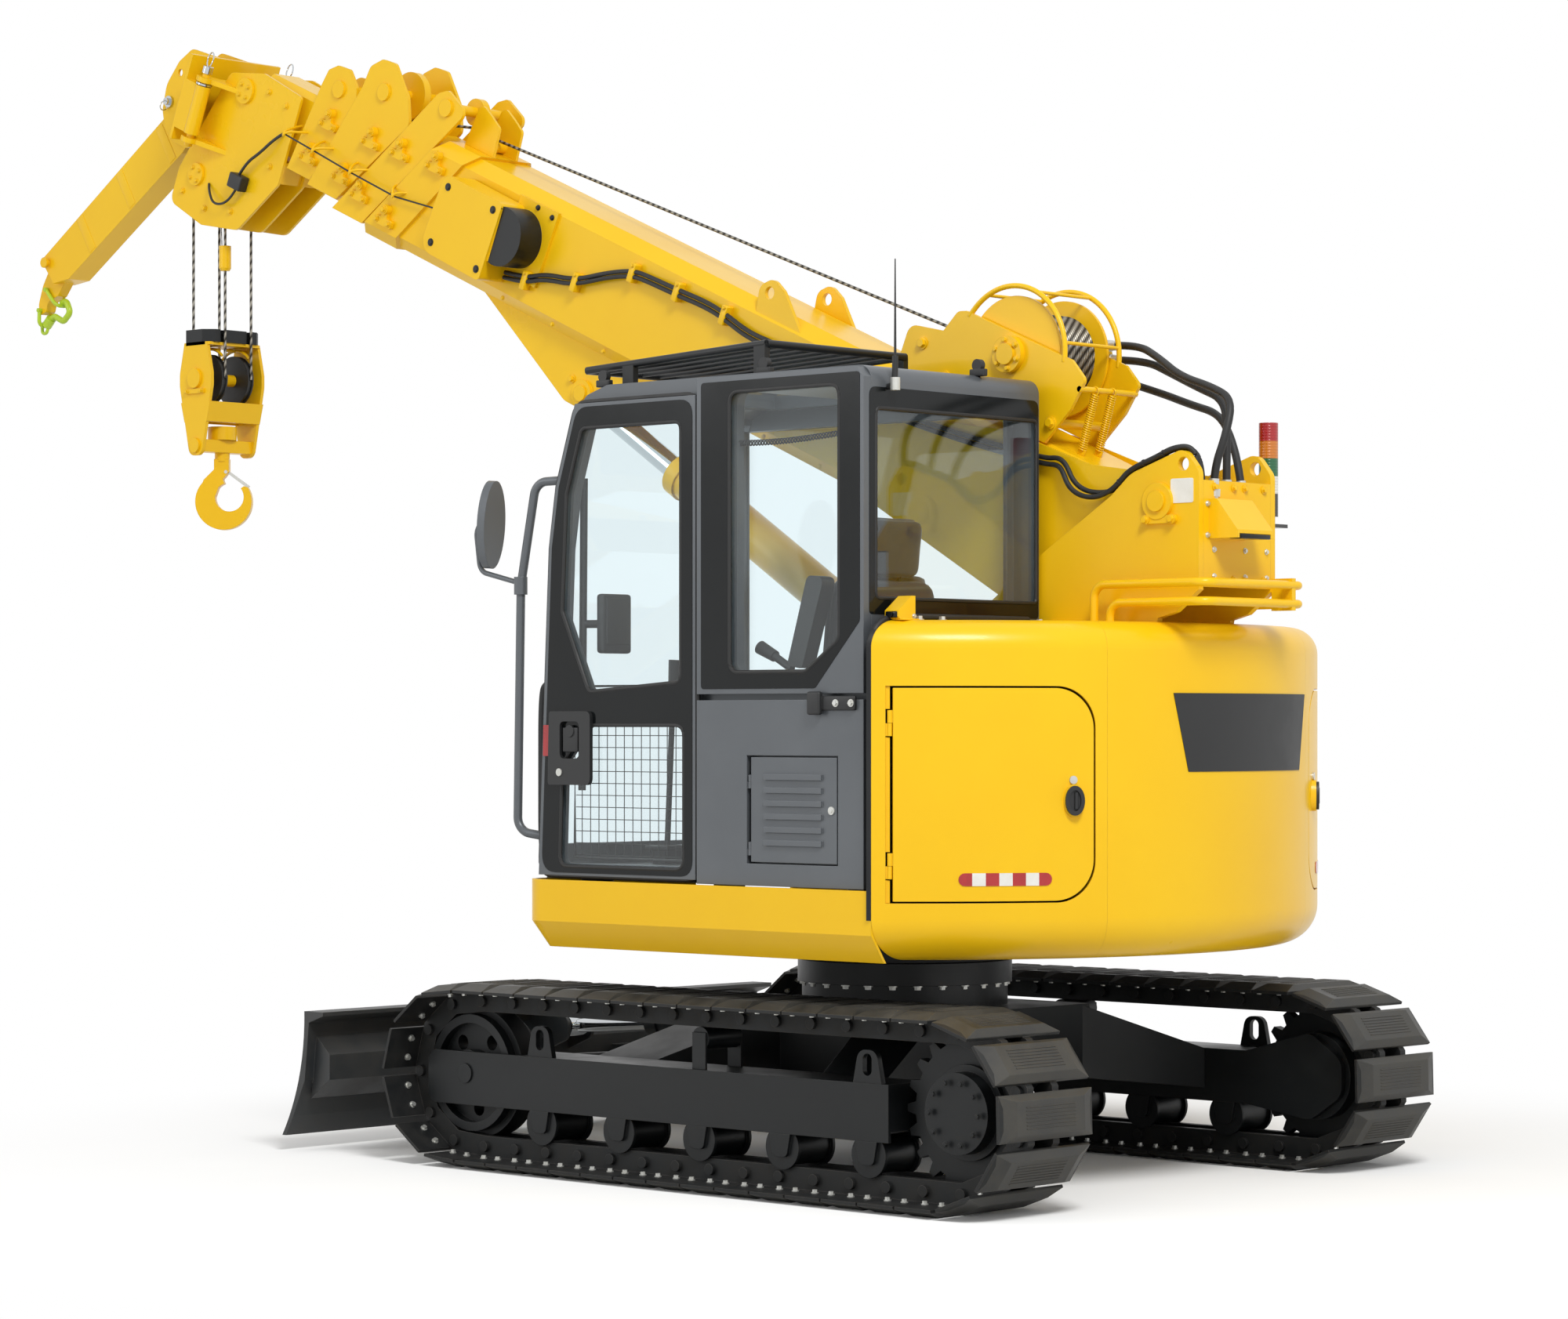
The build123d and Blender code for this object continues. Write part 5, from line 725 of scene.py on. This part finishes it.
levers = {"rows": (0.345, 0.985), "gaiter": (0.0, 1.628), "folds": 5, "travelRows": (0.6135, 0.7535),
    "monitor": ((0.44, 0.89, 1.76), (0.475, 1.03, 1.96)),
    "screen": ((0.434, 0.905, 1.79), (0.441, 1.015, 1.945)),
    "arm": ((0.472, 0.96, 1.86), (0.56, 1.01, 1.86)), "post": ((0.56, 1.01, 1.3), (0.55, 1.01, 2.35)),
    "armRest": ((-450, 1700, 15), (-386, 1712, 15), (-474, 2000, 26), (-546, 1992, 26)), "restY": 0.955,
    "restThick": 0.06, "stick": ((-0.381, 0.985, 1.7), (-0.3, 0.985, 1.745)),
    "grip": ((-0.306, 0.985, 1.742), (-0.24, 0.985, 1.772))}
knobs = Kit()
for y in levers["rows"]:
    for k in range(levers["folds"]):
        x, z = levers["gaiter"][0] + 0.003 * k, levers["gaiter"][1] + 0.014 * k
        kit.rod((x, y, z), (x, y, z + 0.014), 0.05 - 0.007 * k, 18, 0.045 - 0.007 * k)
    kit.block((-0.34, y - 0.052, 1.616), (0.07, y + 0.052, 1.632), 0.006)
    knobs.rod((0.032, y, 1.872), (0.036, y, 1.905), 0.024, 18, 0.014)
kit.block(*levers["monitor"], 0.012)
kit.block(*levers["screen"], 0.003)
kit.rod(*levers["arm"], 0.014, 14)
kit.rod(*levers["post"], 0.013, 14)
for y in levers["travelRows"]:
    kit.rod((0.38, y, 1.66), (0.374, y, 1.74), 0.018, 16, 0.021)
    kit.block((0.36, y - 0.05, 1.095), (0.47, y + 0.05, 1.112), 0.006)
kit.sheet(rounded(levers["armRest"]), [], leftWall(levers["restY"]), levers["restThick"])
kit.rod(*levers["stick"], 0.013, 16)
kit.rod(*levers["grip"], 0.019, 18, 0.023)
kit.piece("cabControls", "upper", *plastic)

curl = {"route": [(-0.12, 1.05, 2.434), (-0.3, 1.05, 2.428), (-0.5, 1.05, 2.432), (-0.762, 1.05, 2.452)],
    "radius": 0.008, "wire": 0.0025, "pitch": 0.013}
turns, distance = [], 0.0
line = flowing(curl["route"], 300)
for here, ahead in zip(line, line[1:]):
    turn = 2 * math.pi * distance / curl["pitch"]
    turns.append(here + Vector((0, math.cos(turn), math.sin(turn))) * curl["radius"])
    distance += (ahead - here).length
kit.tube(turns, curl["wire"], 8)
cord = kit.piece("radioCord", "upper", *plastic)
knobs.piece("leverKnobs", "upper", redVinyl, "lamp_plastic")
print("seat and controls made")

latch = {"turn": 142.7, "out": 1.4022, "along": 0.258, "z": 1.283,
    "ovals": ((0.031, 0.047), (0.019, 0.033)), "lock": (153.1, 1.348)}
strip = {"from": 138.0, "to": 150.2, "low": 1.018, "high": 1.058, "cells": 7, "thick": 0.0025}
house = {"radius": 1.414}
skin = houseSkin(house["radius"])
for side, sign in bothSides:
    body = "service_door_" + side
    tilt = math.radians(latch["turn"])
    out = Vector((math.cos(tilt), sign * math.sin(tilt), 0))
    aside = Vector((-math.sin(tilt), sign * math.cos(tilt), 0))
    seat = out * latch["out"] + aside * latch["along"] + Vector((0, 0, latch["z"]))
    onSeat = lambda a, b, depth: seat + out * depth + aside * a + Vector((0, 0, b))
    rim, well = [[(a * c, b * s) for c, s in circle(28)] for a, b in latch["ovals"]]
    kit.sheet(rim, [well], onSeat, 0.01)
    kit.sheet(well, [], onSeat, 0.003)
    kit.rod(onSeat(0.004, -0.026, 0.006), onSeat(0.004, 0.026, 0.006), 0.006, 14)
    kit.piece("doorLatch_" + side, body, *plastic)
    turn, z = sign * math.radians(latch["lock"][0]), latch["lock"][1]
    kit.rod(skin(turn, z, -0.002), skin(turn, z, 0.006), 0.013, 20)
    kit.piece("doorLock_" + side, body, *zinc)
    low, high, last = strip["low"], strip["high"], strip["cells"] - 1
    half, middle = (high - low) / 2, (high + low) / 2
    step = (strip["to"] - strip["from"]) / strip["cells"]
    bend = sign * half / house["radius"]  # the strip's ends are half discs
    arc = [(math.sin(math.pi * i / 8), math.cos(math.pi * i / 8)) for i in range(1, 8)]
    for parity, finish, label in ((0, redVinyl, "red"), (1, whiteVinyl, "white")):
        for k in range(parity, strip["cells"], 2):
            a, b = [sign * math.radians(strip["from"] + i * step) for i in (k, k + 1)]
            a, b = a + (k == 0) * bend, b - (k == last) * bend
            cells = [a + (b - a) * i / 4 for i in range(5)]
            start = [(a - bend * t, middle + half * c) for t, c in arc] if k == 0 else []
            stop = [(b + bend * t, middle - half * c) for t, c in arc] if k == last else []
            outline = [(t, low) for t in cells] + stop + [(t, high) for t in reversed(cells)] + start
            kit.sheet(outline, [], skin, strip["thick"])
        kit.piece("reflector_%s_%s" % (label, side), body, finish, "lamp_plastic")

panel = {"from": 168.3, "to": 201.1, "low": 1.371, "high": 1.622, "slant": 2.6, "front": 0.0025,
    "back": 0.0005, "rows": 24}
grid, faces = [], []
row = panel["rows"] + 1
for depth, level in (("front", "low"), ("front", "high"), ("back", "high"), ("back", "low")):
    inset = panel["slant"] * (level == "low")
    width = panel["to"] - panel["from"] - 2 * inset
    for i in range(row):
        turn = math.radians(panel["from"] + inset + width * i / panel["rows"])
        grid.append(skin(turn, panel[level], panel[depth]))
for lane in range(4):  # front, top, back and bottom
    here, beside = lane * row, (lane + 1) % 4 * row
    faces += [[here + i, here + i + 1, beside + i + 1, beside + i] for i in range(panel["rows"])]
faces += [[lane * row + end for lane in range(4)] for end in (0, panel["rows"])]
kit.add(grid, faces)
kit.piece("rearPanel", "upper", *plastic)

corner = {"x": (-0.884, -0.828), "foot": ((-0.896, 0.95, 1.8485), (-0.816, 1.03, 1.854)),
    "hood": ((0.958, 1.853), (1.034, 1.853), (1.04, 1.86), (1.04, 1.879), (0.976, 1.926), (0.958, 1.926)),
    "camera": ((-0.88, 1.026, 1.8555), (-0.832, 1.0435, 1.8765)),
    "lens": ((-0.856, 1.866), (1.042, 1.048), 0.009), "bolts": (0.925, 0.815, 0.33, -0.3, -0.8),
    "boltXZ": (-0.872, 1.85), "screw": (-0.884, 0.966, 1.862)}
back, front = corner["x"]
kit.sheet(corner["hood"], [], lambda a, b, depth: Vector((back + depth, a, b)), front - back)
kit.block(*corner["foot"], 0.002)
kit.piece("cornerHood", "upper", *yellow)
kit.block(*corner["camera"], 0.004)
kit.pin(*corner["lens"])
kit.piece("cornerCamera", "upper", frit, "black_plastic")
for y in corner["bolts"]:
    kit.bolt((corner["boltXZ"][0], y, corner["boltXZ"][1]), (0, 0, 1), 0.011, 0.014)
kit.bolt(corner["screw"], (-1, 0, 0), 0.006, 0.007)
kit.piece("hoodBolts", "upper", *zinc)

hinge = {"turn": 129.293, "skin": 1.403, "span": (-0.0155, 0.001), "thick": 0.0045,
    "rows": ((0.9645, 1.036), (1.124, 1.482), (1.57, 1.6415))}
for side, sign in bothSides:
    a, b = [sign * (math.radians(hinge["turn"]) + step / hinge["skin"]) for step in hinge["span"]]
    for low, high in hinge["rows"]:
        kit.sheet([(a, low), (b, low), (b, high), (a, high)], [], houseSkin(hinge["skin"]), hinge["thick"])
    kit.piece("hingeStrip_" + side, "upper", *yellow)

vent = {"x": (-0.52, -0.06), "first": 1.095, "pitch": 0.042, "count": 8, "high": 0.026, "cap": (0.25, 1.45),
    "frame": ((-550, 1065), (-30, 1445)), "opening": ((-530, 1085), (-50, 1425)), "thick": 0.006}
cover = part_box("right_cover")[0].y
for k in range(vent["count"]):
    z = vent["first"] + vent["pitch"] * k
    kit.block((vent["x"][0], cover - 0.006, z), (vent["x"][1], cover + 0.002, z + vent["high"]), 0.003)
onCover = lambda a, b, depth: Vector((a, cover - depth, b))
kit.sheet(plate(*vent["frame"]), [plate(*vent["opening"])], onCover, vent["thick"])
kit.pin(vent["cap"], (cover + 0.002, cover - 0.018), 0.055, 28)
kit.pin(vent["cap"], (cover - 0.018, cover - 0.034), 0.04, 10)
kit.piece("rightVents", "upper", *plastic)
print("house dressed")

mount = {"face": 0.244, "rear": -1.453, "plate": ((-1432, 2228), (-1342, 2306), 8), "plateThick": 0.002,
    "eyeBolts": ((-1.354, 2.1775), (-1.249, 2.1775)), "foot": (-1.294, 2.236),
    "rearBolts": [(y, z) for y in (-0.1, 0.0, 0.06, 0.16) for z in (1.985, 2.28)],
    "screws": [(y, z) for y in (0.012, 0.199) for z in (2.125, 2.225)],
    "lowScrews": [(y, z) for y in (0.165, 0.0, -0.115) for z in (1.995, 2.08)],
    "cameraGlass": ((-1.568, 0.016, 2.112), (-1.52, 0.174, 2.127))}
face = mount["face"]
kit.sheet(plate(*mount["plate"]), [], leftWall(face), mount["plateThick"])
kit.piece("barePlate", "upper", whiteVinyl, "grey_paint")
kit.sideBolts(mount["eyeBolts"], face + 0.012, 0.012, 0.014)
for y, z in mount["rearBolts"]:
    kit.bolt((mount["rear"], y, z), (-1, 0, 0), 0.01, 0.011)
kit.pin(mount["foot"], (face + 0.014, face + 0.022), 0.034, 24)
kit.piece("mountBolts", "upper", *yellow)
for y, z in mount["screws"] + mount["lowScrews"]:
    kit.bolt((mount["rear"], y, z), (-1, 0, 0), 0.007, 0.008)
kit.piece("hoodScrews", "upper", *zinc)
kit.block(*mount["cameraGlass"], 0.004)
kit.piece("rearCameraGlass", "upper", frit, "black_plastic")

winch = {"axis": (0.813, 0.207), "wraps": 21, "half": 0.117, "radius": 0.14, "rope": 0.0056,
    "hub": ((0.15, 0.172), 0.062, 28), "cap": ((0.172, 0.182), 0.036, 24), "capBolts": (6, 0.048, 0.172),
    "motorBolts": (8, 0.08, -0.28), "feet": ((1.19, 0.11), (0.56, 0.06), (1.05, 0.04), (0.7, 0.04)),
    "footY": 0.15}
u, v = winch["axis"]
for k in range(winch["wraps"]):
    y = winch["half"] * (2 * k / (winch["wraps"] - 1) - 1)
    kit.ring((u, y, v), winch["radius"], (0, 1, 0), winch["rope"], 8, 40)
kit.piece("drumWraps", "winch_drum", *laid, onBoom)
kit.pin((u, v), *winch["hub"])
kit.pin((u, v), *winch["cap"])
for count, radius, y in (winch["capBolts"], winch["motorBolts"]):
    kit.sideBolts([(u + radius * c, v + radius * s) for c, s in circle(count)], y, 0.008, 0.009)
for sign in (1, -1):
    kit.sideBolts(winch["feet"], sign * winch["footY"], 0.016, 0.016)
kit.piece("winchBolts", "boom", *yellow, onBoom)

spring = {"rows": (-0.02, 0.07), "top": (0.484, 0.194), "low": (0.462, 0.004), "radius": 0.012,
    "wire": 0.0028, "turns": 26, "bar": ((0.492, 0.204), (-0.15, 0.15), 0.01, 18)}
kit.pin(*spring["bar"])
steps = 12 * spring["turns"]
for y in spring["rows"]:
    coil = []
    for k in range(steps + 1):
        u, v = Vector(spring["top"]).lerp(Vector(spring["low"]), k / steps)
        turn = k * math.pi / 6
        coil.append((u + spring["radius"] * math.cos(turn), y + spring["radius"] * math.sin(turn), v))
    kit.tube(coil, spring["wire"], 6)
    kit.ring((0.488, y, 0.202), 0.014, (0, 1, 0), 0.003, 8, 18)
    kit.block((0.448, y - 0.005, -0.0115), (0.476, y + 0.005, 0.01), 0.002)
kit.piece("pressSprings", "boom", *yellow, onBoom)

reel = {"axis": (3.171, -0.2), "radius": 0.1115, "above": 0.178, "before": 3.196, "coverY": 0.295,
    "wallY": 0.177, "coverBolts": ((3.235, -0.12), (3.235, -0.35), (3.5, -0.12), (3.51, -0.34)),
    "wallBolts": ((3.045, -0.075), (3.055, -0.315), (3.13, -0.065))}
drum = nodes["length_reel"].data
drum.materials.append(blackEnamel)
toBoom = onBoom.inverted()
for face in drum.polygons:  # the drum is black and its cover yellow
    spot = toBoom @ face.center
    inside = math.hypot(spot.x - reel["axis"][0], spot.z - reel["axis"][1]) < reel["radius"]
    face.material_index = int(inside and spot.y > reel["above"] and spot.x < reel["before"])
kit.sideBolts(reel["coverBolts"], reel["coverY"], 0.011, 0.006)
kit.sideBolts(reel["wallBolts"], reel["wallY"], 0.008, 0.008)
kit.piece("reelBolts", "boom", blackEnamel, "black_paint", onBoom)

base = {"seam": [(1.45 + 0.29 * k, -0.437) for k in range(7)], "seamY": 0.165, "pivotY": (0.173, 0.1755),
    "pivot": 0.075, "luffPin": (2.7, -0.63), "luffY": (0.126, 0.134),
    "luffBolts": ((2.625, -0.6), (2.775, -0.6)), "luffBoltY": 0.112}
for sign in (1, -1):
    kit.sideBolts(base["seam"], sign * base["seamY"], 0.007, 0.007)
    kit.pin((0.0, 0.0), [sign * y for y in base["pivotY"]], base["pivot"], 32)
    kit.pin(base["luffPin"], [sign * y for y in base["luffY"]], 0.03, 24)
    kit.sideBolts(base["luffBolts"], sign * base["luffBoltY"], 0.012, 0.014)
kit.piece("boomBolts", "boom", *yellow, onBoom)
print("winch and boom base dressed")

head = {"half": 0.13, "cap": 0.012, "caps": (((5.12, -0.59), 0.046), ((4.96, -0.19), 0.052)),
    "capRing": 0.03,
    "bolts": ((4.7, -0.17), (4.82, -0.15), (4.7, -0.42), (4.86, -0.66), (5.02, -0.7), (5.18, -0.68)),
    "pin": (5.13, 0.205), "pinRods": ((-0.178, -0.15, 0.021), (-0.226, -0.219, 0.033)),
    "eye": (-0.122, 0.03, (0.35, 1, 0.1), 0.003), "switch": ((4.795, 0.132, -0.56), (4.875, 0.176, -0.5)),
    "feed": [(4.66, 0.128, -0.262), (4.69, 0.15, -0.3), (4.74, 0.165, -0.38), (4.8, 0.168, -0.44),
        (4.835, 0.158, -0.503)],
    "lead": [(4.835, 0.155, -0.558), (4.85, 0.16, -0.62), (4.93, 0.165, -0.66), (5.0, 0.15, -0.62),
        (5.03, 0.132, -0.6)]}
bright = Kit()
for sign in (1, -1):
    face, top = sign * head["half"], sign * (head["half"] + head["cap"])
    for (u, v), radius in head["caps"]:
        kit.pin((u, v), (face, top), radius, 28)
        spots = [(u + head["capRing"] * c, v + head["capRing"] * s) for c, s in circle(4, math.pi / 4)]
        kit.sideBolts(spots, top, 0.007, 0.008)
    kit.sideBolts(head["bolts"], face, 0.01, 0.011)
    u, y = head["pin"][0], sign * head["pin"][1]
    for low, high, radius in head["pinRods"]:
        bright.rod((u, y, low), (u, y, high), radius)
    v, radius, axis, wire = head["eye"]
    bright.ring((u, y, v), radius, axis, wire, 8)
kit.piece("headBolts", "boom_5", *yellow, onBoom)
bright.piece("headPins", "boom_5", *chrome, onBoom)
kit.block(*head["switch"], 0.006)
for key, radius in (("feed", 0.006), ("lead", 0.005)):
    kit.tube(flowing(head[key], 8), radius, 10)
kit.piece("headSwitch", "boom_5", *plastic, onBoom)

jib = {"pivot": (5.3, -0.345), "slope": 55.0, "length": 1.19, "cheek": 0.08, "pinAt": (0.17, -15.0),
    "bolts": ((5.255, -0.165), (5.255, -0.45), (5.4, -0.495)), "bands": (0.24, 0.55, 0.86),
    "bandWide": 0.045, "side": 0.055}
u, v = jib["pivot"]
turn = math.radians(jib["pinAt"][1])
pin = (u + jib["pinAt"][0] * math.cos(turn), v + jib["pinAt"][0] * math.sin(turn))
onJib = onBoom @ Matrix.Translation((u, 0, v)) @ Matrix.Rotation(math.radians(jib["slope"]), 4, "Y")
bright, bands = Kit(), Kit()
for sign in (1, -1):
    kit.pin((u, v), (sign * jib["cheek"], sign * (jib["cheek"] + 0.012)), 0.034, 24)
    kit.sideBolts(jib["bolts"], sign * jib["cheek"], 0.009, 0.01)
    bright.pin(pin, (sign * 0.072, sign * 0.104), 0.0145)
    bands.pin((jib["length"] - 0.028, 0.05), (sign * 0.068, sign * 0.076), 0.022)
    for s in jib["bands"]:
        y = sign * jib["side"]
        bands.block((s, y - 0.002, -0.086), (s + jib["bandWide"], y + 0.002, 0.082), 0.001)
bright.pin(pin, (0.082, 0.09), 0.024)
bright.ring((pin[0], 0.104, pin[1] - 0.018), 0.02, (1, 0, 0), 0.0025, 6, 18)
kit.piece("jibBolts", "jib_bracket", *yellow, onBoom)
bright.piece("jibPin", "jib_bracket", *chrome, onBoom)
bands.piece("jibBands", "jib_arm", *yellow, onJib)

block = {"place": (3.6366, 0.04, 2.915), "cheek": 0.138, "strap": ((-58, -62), (58, -42), 6),
    "strapThick": 0.008, "strapBolts": ((-0.045, -0.052), (0.045, -0.052)), "trunnion": (0, -0.27),
    "rows": (-0.067, 0.067), "top": ((-80, -138), (80, 138), 20), "topZ": 0.133, "topThick": 0.012,
    "slotHalf": (66, 22), "guard": 0.122}
inBlock = Matrix.Translation(block["place"])
for sign in (1, -1):
    face = block["cheek"]
    kit.pin((0, 0), (sign * face, sign * (face + 0.012)), 0.04, 28)
    onCheek = lambda a, b, depth: Vector((a, sign * (face + depth), b))
    kit.sheet(plate(*block["strap"]), [], onCheek, block["strapThick"])
    kit.sideBolts(block["strapBolts"], sign * (face + block["strapThick"]), 0.008, 0.009)
    kit.pin(block["trunnion"], (sign * face, sign * (face + 0.01)), 0.03, 24)
halfX, halfY = block["slotHalf"]
slots = [plate((-halfX, y / mm - halfY), (halfX, y / mm + halfY), 8) for y in block["rows"]]
onTop = lambda a, b, depth: Vector((a, b, block["topZ"] + depth))
kit.sheet(plate(*block["top"]), slots, onTop, block["topThick"])
for y in block["rows"]:
    turns = [math.radians(48 + 7 * k) for k in range(13)]
    kit.tube([(block["guard"] * math.cos(t), y, block["guard"] * math.sin(t)) for t in turns], 0.006, 10)
    kit.pin((0, block["guard"]), (y - 0.055, y + 0.055), 0.006, 12)
kit.piece("blockFittings", "hook_block", *yellow, inBlock)
limit = {"spot": (-0.1, 0.067), "z": (0.43, 0.44, 0.53), "radius": (0.018, 0.024),
    "wire": [(-0.08, 0.067, 0.53), (-0.075, 0.066, 0.62), (-0.07, 0.065, 0.7)]}
tip, low, high = [(*limit["spot"], z) for z in limit["z"]]
kit.rod(low, high, limit["radius"][1], 24)
kit.rod(tip, low, limit["radius"][0], 24, limit["radius"][1])
kit.piece("limitWeight", "hook_block", *yellow, inBlock)
kit.tube(limit["wire"], 0.002, 6)
kit.piece("limitWire", "hook_block", *laid, inBlock)
tongue = {"turn": 222.9, "half": 0.013, "pin": ((0.018, -0.372), (-0.028, 0.028), 0.007, 14),
    "outline": [(0.016, -0.372), (0.026, -0.366), (0.112, -0.428), (0.104, -0.438)]}
onHook = inBlock @ Matrix.Rotation(math.radians(tongue["turn"]), 4, "Z")
kit.sheet(tongue["outline"], [], leftWall(-tongue["half"]), 2 * tongue["half"])
kit.pin(*tongue["pin"])
kit.piece("hookLatch", "hook", boltZinc, "yellow_paint", onHook)
print("head, jib and block dressed")

luff = {"foot": (-1.0, 0.04, 1.117), "turn": 32.72, "collars": ((2.375, 2.428, 0.081), (0.2, 0.26, 0.08)),
    "pipe": [(0.3, 0.07, 0.03), (0.33, 0.092, 0.03), (0.4, 0.095, 0.03), (0.9, 0.095, 0.03),
        (1.35, 0.095, 0.03), (1.42, 0.092, 0.03), (1.45, 0.07, 0.03)], "clips": (0.55, 1.2)}
onLuff = Matrix.Translation(luff["foot"]) @ Matrix.Rotation(-math.radians(luff["turn"]), 4, "Y")
for start, end, radius in luff["collars"]:
    kit.rod((start, 0, 0), (end, 0, 0), radius, 36)
kit.tube(flowing(luff["pipe"], 10), 0.009, 12)
for s in luff["clips"]:
    kit.block((s - 0.02, 0.06, 0.012), (s + 0.02, 0.108, 0.048), 0.004)
kit.piece("luffFittings", "luff_barrel", *yellow, onLuff)
drive = {"count": 10, "ring": 0.1}
spots = [(-track["half"] + drive["ring"] * c, loopZ + drive["ring"] * s) for c, s in circle(drive["count"])]
for sign in (1, -1):
    kit.sideBolts(spots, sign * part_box("running_gear_left")[1].y, 0.008, 0.006)
kit.piece("driveBolts", "undercarriage", blackEnamel, "black_paint")
slew = {"count": 26, "ring": 0.352, "z": 0.64}
for c, s in circle(slew["count"]):
    kit.bolt((slew["ring"] * c, slew["ring"] * s, slew["z"]), (0, 0, -1), 0.013, 0.014)
kit.piece("slewBolts", "undercarriage", boltZinc, "black_paint")
print("cylinder and base dressed")

paper = {"half": 60, "tones": ("#F4F4F3", "#F7F7F6"), "fibreMm": 500, "fade": (1.6, 4.2)}
half = paper["half"]
floor = bpy.data.objects.new("paleFloor", bpy.data.meshes.new("paleFloor"))
square = [(-half, -half, 0), (half, -half, 0), (half, half, 0), (-half, half, 0)]
floor.data.from_pydata(square, [], [[0, 1, 2, 3]])
bpy.context.collection.objects.link(floor)
paleFloor, tree, output = newMaterial("paperSeamlessMatt")  # white sweep that keeps the shadow
place = placeIn(tree)
tone = mixed(tree, noise(tree, place, paper["fibreMm"], 3.0), *[linear(tone) for tone in paper["tones"]])
sweep = addNode(tree, "BsdfDiffuse", {"Color": tone, "Roughness": 1.0})
away = addNode(tree, "VectorMath", {0: place}, operation="LENGTH").outputs["Value"]
edge = {"Value": away, 1: paper["fade"][0], 2: paper["fade"][1], 3: 0.0, 4: 1.0}
fade = addNode(tree, "MapRange", edge, interpolation_type="SMOOTHSTEP").outputs[0]
fade = reckoned(tree, "MULTIPLY", fade, seenRay(tree))
white = addNode(tree, "Emission", {"Color": (1, 1, 1, 1), "Strength": 1.0})
mix = addNode(tree, "MixShader", {0: fade, 1: sweep.outputs[0], 2: white.outputs[0]})
tree.links.new(mix.outputs[0], output.inputs["Surface"])
floor.data.materials.append(paleFloor)

studio = {"sky": 0.58, "aim": (-0.2, 0.2, 1.2),
    "lamps": {"keyLight": ((-7.5, 5.0, 9.5), 3.0, 800.0), "fillLight": ((6.0, 9.0, 6.0), 5.0, 180.0)}}
world = bpy.data.worlds.new("softStudio")
bpy.context.scene.world = world
world.use_nodes = True
tree = world.node_tree
tree.nodes.clear()
level = ranged(tree, seenRay(tree), 0.0, 1.0, studio["sky"], 1.0)
sky = addNode(tree, "Background", {"Color": (1, 1, 1, 1), "Strength": level})
addNode(tree, "OutputWorld", {"Surface": sky.outputs[0]})
for name, (place, size, power) in studio["lamps"].items():
    lamp = bpy.data.objects.new(name, bpy.data.lights.new(name, "AREA"))
    lamp.data.size, lamp.data.energy = size, power
    lamp.location = place
    lamp.rotation_euler = (Vector(studio["aim"]) - Vector(place)).to_track_quat("-Z", "Y").to_euler()
    bpy.context.collection.objects.link(lamp)
print("floor and lights set")
